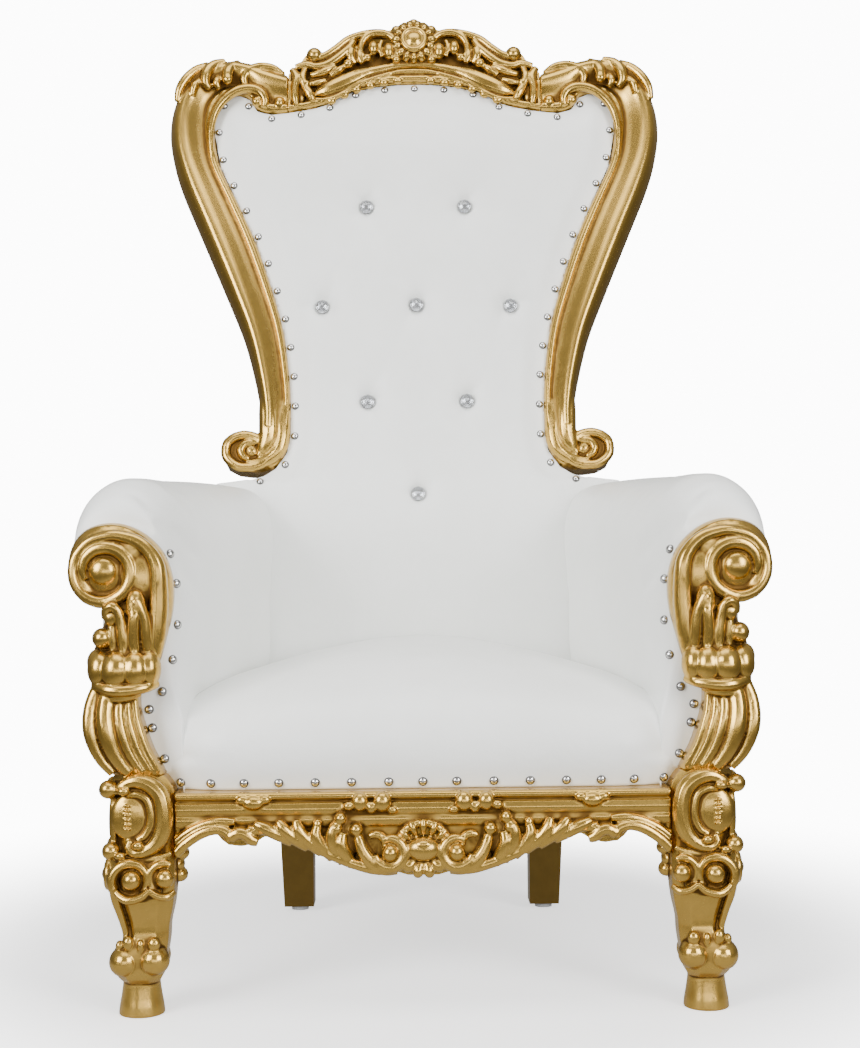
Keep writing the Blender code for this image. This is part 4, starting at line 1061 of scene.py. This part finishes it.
# %% [markdown]
# ### Crystal buttons
# A cut crystal is a flat-faced dome with a foil behind it that throws the light back. A sphere of
# few faces, pressed flat and shaded flat, is that shape: its front half is glass, its rear half foil.

# %% The crystals
CRYSTAL_RADIUS = 0.0120
CRYSTAL_DEPTH = 0.0085
STANDS_OUT = 0.003


def cut_crystal(number):
    low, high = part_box(f"crystal_{number}")
    middle = (Vector(low) + Vector(high)) / 2
    bpy.ops.mesh.primitive_uv_sphere_add(segments=10, ring_count=7, radius=1, location=(0, 0, 0),
                                         scale=(CRYSTAL_RADIUS, CRYSTAL_RADIUS, CRYSTAL_DEPTH))
    crystal = bpy.context.object
    bpy.ops.object.transform_apply(location=True, rotation=True, scale=True)
    crystal.name = f"crystal_button_{number}"
    crystal.data.materials.append(crystal_finish)
    crystal.data.materials.append(foil_finish)
    for face in crystal.data.polygons:
        face.material_index = 1 if face.center.z < 0 else 0
    forward = (BACK_TILT.to_3x3() @ Vector((0, -1, 0))).normalized()
    turned_to_front = forward.to_track_quat("Z", "Y").to_matrix().to_4x4()
    crystal.data.transform(Matrix.Translation(middle + STANDS_OUT * forward) @ turned_to_front)
    pick(crystal)
    bpy.ops.object.shade_flat()
    stands_for(crystal, f"crystal_{number}")


for number in range(1, len(BUTTONS) + 1):
    cut_crystal(number)
print("crystals:", len(BUTTONS))

# %% [markdown]
# ### Outer back
# Behind, the leatherette is stretched flat over the frame. Away from its stapled edge it swells by
# only five millimetres, so a formula is enough and nothing is simulated.

# %% The panel behind
outer = skin("back_panel", "outer_back_cover", 0.0070)
local = points_of(outer.data) @ to_back[:3, :3].T + to_back[:3, 3]
rim = from_line(local[:, [0, 2]], edge_line)
rim = np.where(local[:, 2] < 0.72, np.minimum(0.275 - np.abs(local[:, 0]), rim), rim)
local[:, 1] += np.where(local[:, 1] > 0.052, 0.005 * step(rim, 0.008, 0.060), 0)
move_points(outer.data, local @ from_back[:3, :3].T + from_back[:3, 3])
soft_finish(outer, "back_panel")

# %% [markdown]
# ## Nailheads
# Chromed domes about twelve millimetres across hold the cover along the rail, around the arms and
# inside the gold frame of the back. One nail is modelled: a ball pressed flat and cut in half, with
# a dark finish on its rim as painted shade. Each copy is set on the cover where a line from the
# front meets it, and turned to lie on the surface.

# %% One nailhead
NAIL_RADIUS = 0.0062
NAIL_HEIGHT = 0.0046
NAIL_RIM = 0.0044
bpy.ops.mesh.primitive_uv_sphere_add(segments=20, ring_count=12, radius=1, location=(0, 0, 0),
                                     scale=(NAIL_RADIUS, NAIL_RADIUS, NAIL_HEIGHT))
nail = bpy.context.object
bpy.ops.object.transform_apply(location=True, rotation=True, scale=True)
bpy.ops.object.mode_set(mode="EDIT")
bpy.ops.mesh.select_all(action="SELECT")
bpy.ops.mesh.bisect(plane_co=(0, 0, -0.0002), plane_no=(0, 0, -1), use_fill=True, clear_outer=True)
bpy.ops.mesh.select_all(action="DESELECT")
bpy.ops.object.mode_set(mode="OBJECT")
nail.name = "nail_pattern"
nail.data.materials.append(nails_finish)
nail.data.materials.append(rim_shade_finish)
# Faces beyond NAIL_RIM take the dark rim finish: painted shade at the nail's edge.
for face in nail.data.polygons:
    face.material_index = 1 if math.hypot(*face.center[:2]) > NAIL_RIM else 0
print("nailhead triangles:", triangles(nail))


# %% Setting nails on the cover
def tree_of(*pieces):
    corners, faces = [], []
    for piece in pieces:
        start = len(corners)
        corners += [v.co.copy() for v in piece.data.vertices]
        faces += [[start + i for i in p.vertices] for p in piece.data.polygons]
    return BVHTree.FromPolygons(corners, faces)


def set_nails(name, tree, starts, way):
    """Copies of the nail where lines from the starting points along way meet the cover."""
    set_ones = []
    for start in starts:
        found, normal, _, _ = tree.ray_cast(Vector(start), Vector(way))
        if found is None:
            continue
        copy = bpy.data.objects.new("nailhead", nail.data.copy())
        bpy.context.scene.collection.objects.link(copy)
        lean = normal.lerp(-Vector(way), 0.45).normalized()
        turn = lean.to_track_quat("Z", "Y").to_matrix().to_4x4()
        copy.data.transform(Matrix.Translation(found) @ turn)
        set_ones.append(copy)
    row = join(set_ones)
    row.name = name
    pick(row)
    bpy.ops.object.shade_smooth()
    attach(row, "root")
    print(f"{name}: {len(set_ones)} nails")


def walk(line, gap):
    """Points every gap along a chain, from its start."""
    line = np.asarray(line)
    lengths = np.r_[0, np.cumsum(np.linalg.norm(np.diff(line, axis=0), axis=1))]
    stops = np.arange(0, lengths[-1], gap)
    return [tuple(np.interp(s, lengths, line[:, i]) for i in range(line.shape[1])) for s in stops]


# %% The rows of nails, from points in millimetres
IN_FRONT = -0.6
BACKWARDS = (0, 1, 0)
RAIL_NAILS = (0, 44, 92, 139, 186, 231, 274, 314)
RAIL_NAILS_Z = 0.2945
covers = tree_of(seat, right_arm, left_arm)
set_nails("rail_nails", covers, [(s * x * 0.001, IN_FRONT, RAIL_NAILS_Z) for x in RAIL_NAILS
                                 for s in (1, -1) if x or s > 0], BACKWARDS)
ARM_NAILS = ((-36, 300), (-44, 261), (-45, 207), (-40, 162), (-27, 121), (-10, 98), (-14, 74),
             (-30, 34))
for s, title in ((1, "right"), (-1, "left")):
    set_nails(f"arm_nails_{title}", covers, [(s * (0.365 + x * 0.001), IN_FRONT, 0.2913 + z * 0.001)
                                             for x, z in ARM_NAILS], BACKWARDS)
NAIL_INSET = 0.0075
NAIL_GAP = 0.0505
half = np.array(smooth_line([(x * 0.001, z * 0.001) for x, z in COVER_EDGE], 4))[::-1]
way = np.gradient(half, axis=0)
inwards = np.stack([way[:, 1], -way[:, 0]], 1) / np.linalg.norm(way, axis=1, keepdims=True)
nail_line = half + NAIL_INSET * inwards
back_tree = tree_of(back)
slope = BACK_TILT.to_3x3() @ Vector((0, 1, 0))
stops = walk(nail_line, NAIL_GAP)
set_nails("back_nails", back_tree, [tuple(BACK_TILT @ Vector((s * x, -0.3, z))) for x, z in stops
                                    for s in (1, -1) if x > 0.001 or s > 0], slope)
bpy.data.objects.remove(nail)

# %% [markdown]
# ## Studio
# A pale floor fades into the white backdrop, with a large soft light on each side, one above and a
# weak one low in front. Metal only shows what it reflects, so the room around the lights is kept
# dim: the gold gets its bright stripes from the lights and its dark edges from the room. The camera
# sees the floor in full, and other rays see a quarter of it, so that little white is thrown back.

# %% Floor
FADE_FROM, FADE_TO = 0.5, 1.35
bpy.ops.mesh.primitive_plane_add(size=16, location=(0, 0, 0))
floor = bpy.context.object
floor.name = "studio_floor"
floor_finish, floor_shader, floor_place = finish("studio_floor_paint", Roughness=0.6,
                                                 Emission_Color=(1, 1, 1, 1), Emission_Strength=1.2)
floor_tone = floor_place.node("ShaderNodeTexNoise", {}, Vector=floor_place, Scale=0.6, Detail=1.0)
feed(floor_shader, "Base Color", floor_tone.mix((0.92, 0.92, 0.92), (0.94, 0.94, 0.94)))
away = floor_place.node("ShaderNodeVectorMath", {"operation": "LENGTH"}, out=1, i0=floor_place)
straight = floor_place.node("ShaderNodeLightPath", out=0)
feed(floor_shader, "Alpha", (1.0 - away.between(FADE_FROM, FADE_TO)) * (0.25 + straight * 0.75))
floor.data.materials.append(floor_finish)
print("floor fades from", FADE_FROM, "to", FADE_TO, "m")


# %% Lights and room
def softbox(name, place, aim, size, power):
    light = bpy.data.lights.new(name, "AREA")
    light.shape = "RECTANGLE"
    light.size, light.size_y = size
    light.energy = power
    lamp = bpy.data.objects.new(name, light)
    bpy.context.scene.collection.objects.link(lamp)
    lamp.location = place
    lamp.rotation_euler = (Vector(aim) - Vector(place)).to_track_quat("-Z", "Y").to_euler()


softbox("left_light", (-2.3, -2.6, 1.6), (0, 0, 0.7), (1.4, 1.9), 158)
softbox("right_light", (2.1, -2.8, 1.5), (0, 0, 0.7), (1.2, 1.9), 122)
softbox("top_light", (0, -0.9, 3.3), (0, 0, 0.6), (2.6, 1.6), 62)
softbox("low_light", (0.3, -3.4, 0.5), (0, 0, 0.5), (2.6, 0.6), 22)
sky = bpy.data.worlds.new("studio")
bpy.context.scene.world = sky
sky.use_nodes = True
glow = sky.node_tree.nodes["Background"]
sky_place = Value(sky.node_tree, sky.node_tree.nodes.new("ShaderNodeTexCoord").outputs["Generated"])
split = sky.node_tree.nodes.new("ShaderNodeSeparateXYZ")
sky.node_tree.links.new(sky_place.socket, split.inputs[0])
upwards = Value(sky.node_tree, split.outputs[2])
seen = Value(sky.node_tree, sky.node_tree.nodes.new("ShaderNodeLightPath").outputs["Is Camera Ray"])
room = upwards.between(-0.1, 0.9).mix((0.12, 0.115, 0.105), (0.42, 0.42, 0.42))
feed(glow, "Color", seen.mix(room, (12.0, 12.0, 12.0)))
glow.inputs["Strength"].default_value = 1.0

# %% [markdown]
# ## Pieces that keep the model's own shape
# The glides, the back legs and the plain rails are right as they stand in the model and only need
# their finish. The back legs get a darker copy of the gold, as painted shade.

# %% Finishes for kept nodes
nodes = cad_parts
# The back legs take the darker gold of painted shade.
KEPT = {"glide_left": glide_finish, "glide_right": glide_finish, "back_leg_left": shaded_gold,
        "back_leg_right": shaded_gold, "side_rail_left": gold, "side_rail_right": gold, "back_rail": gold}
for name, paint in KEPT.items():
    for slot in nodes[name].material_slots:
        slot.material = paint
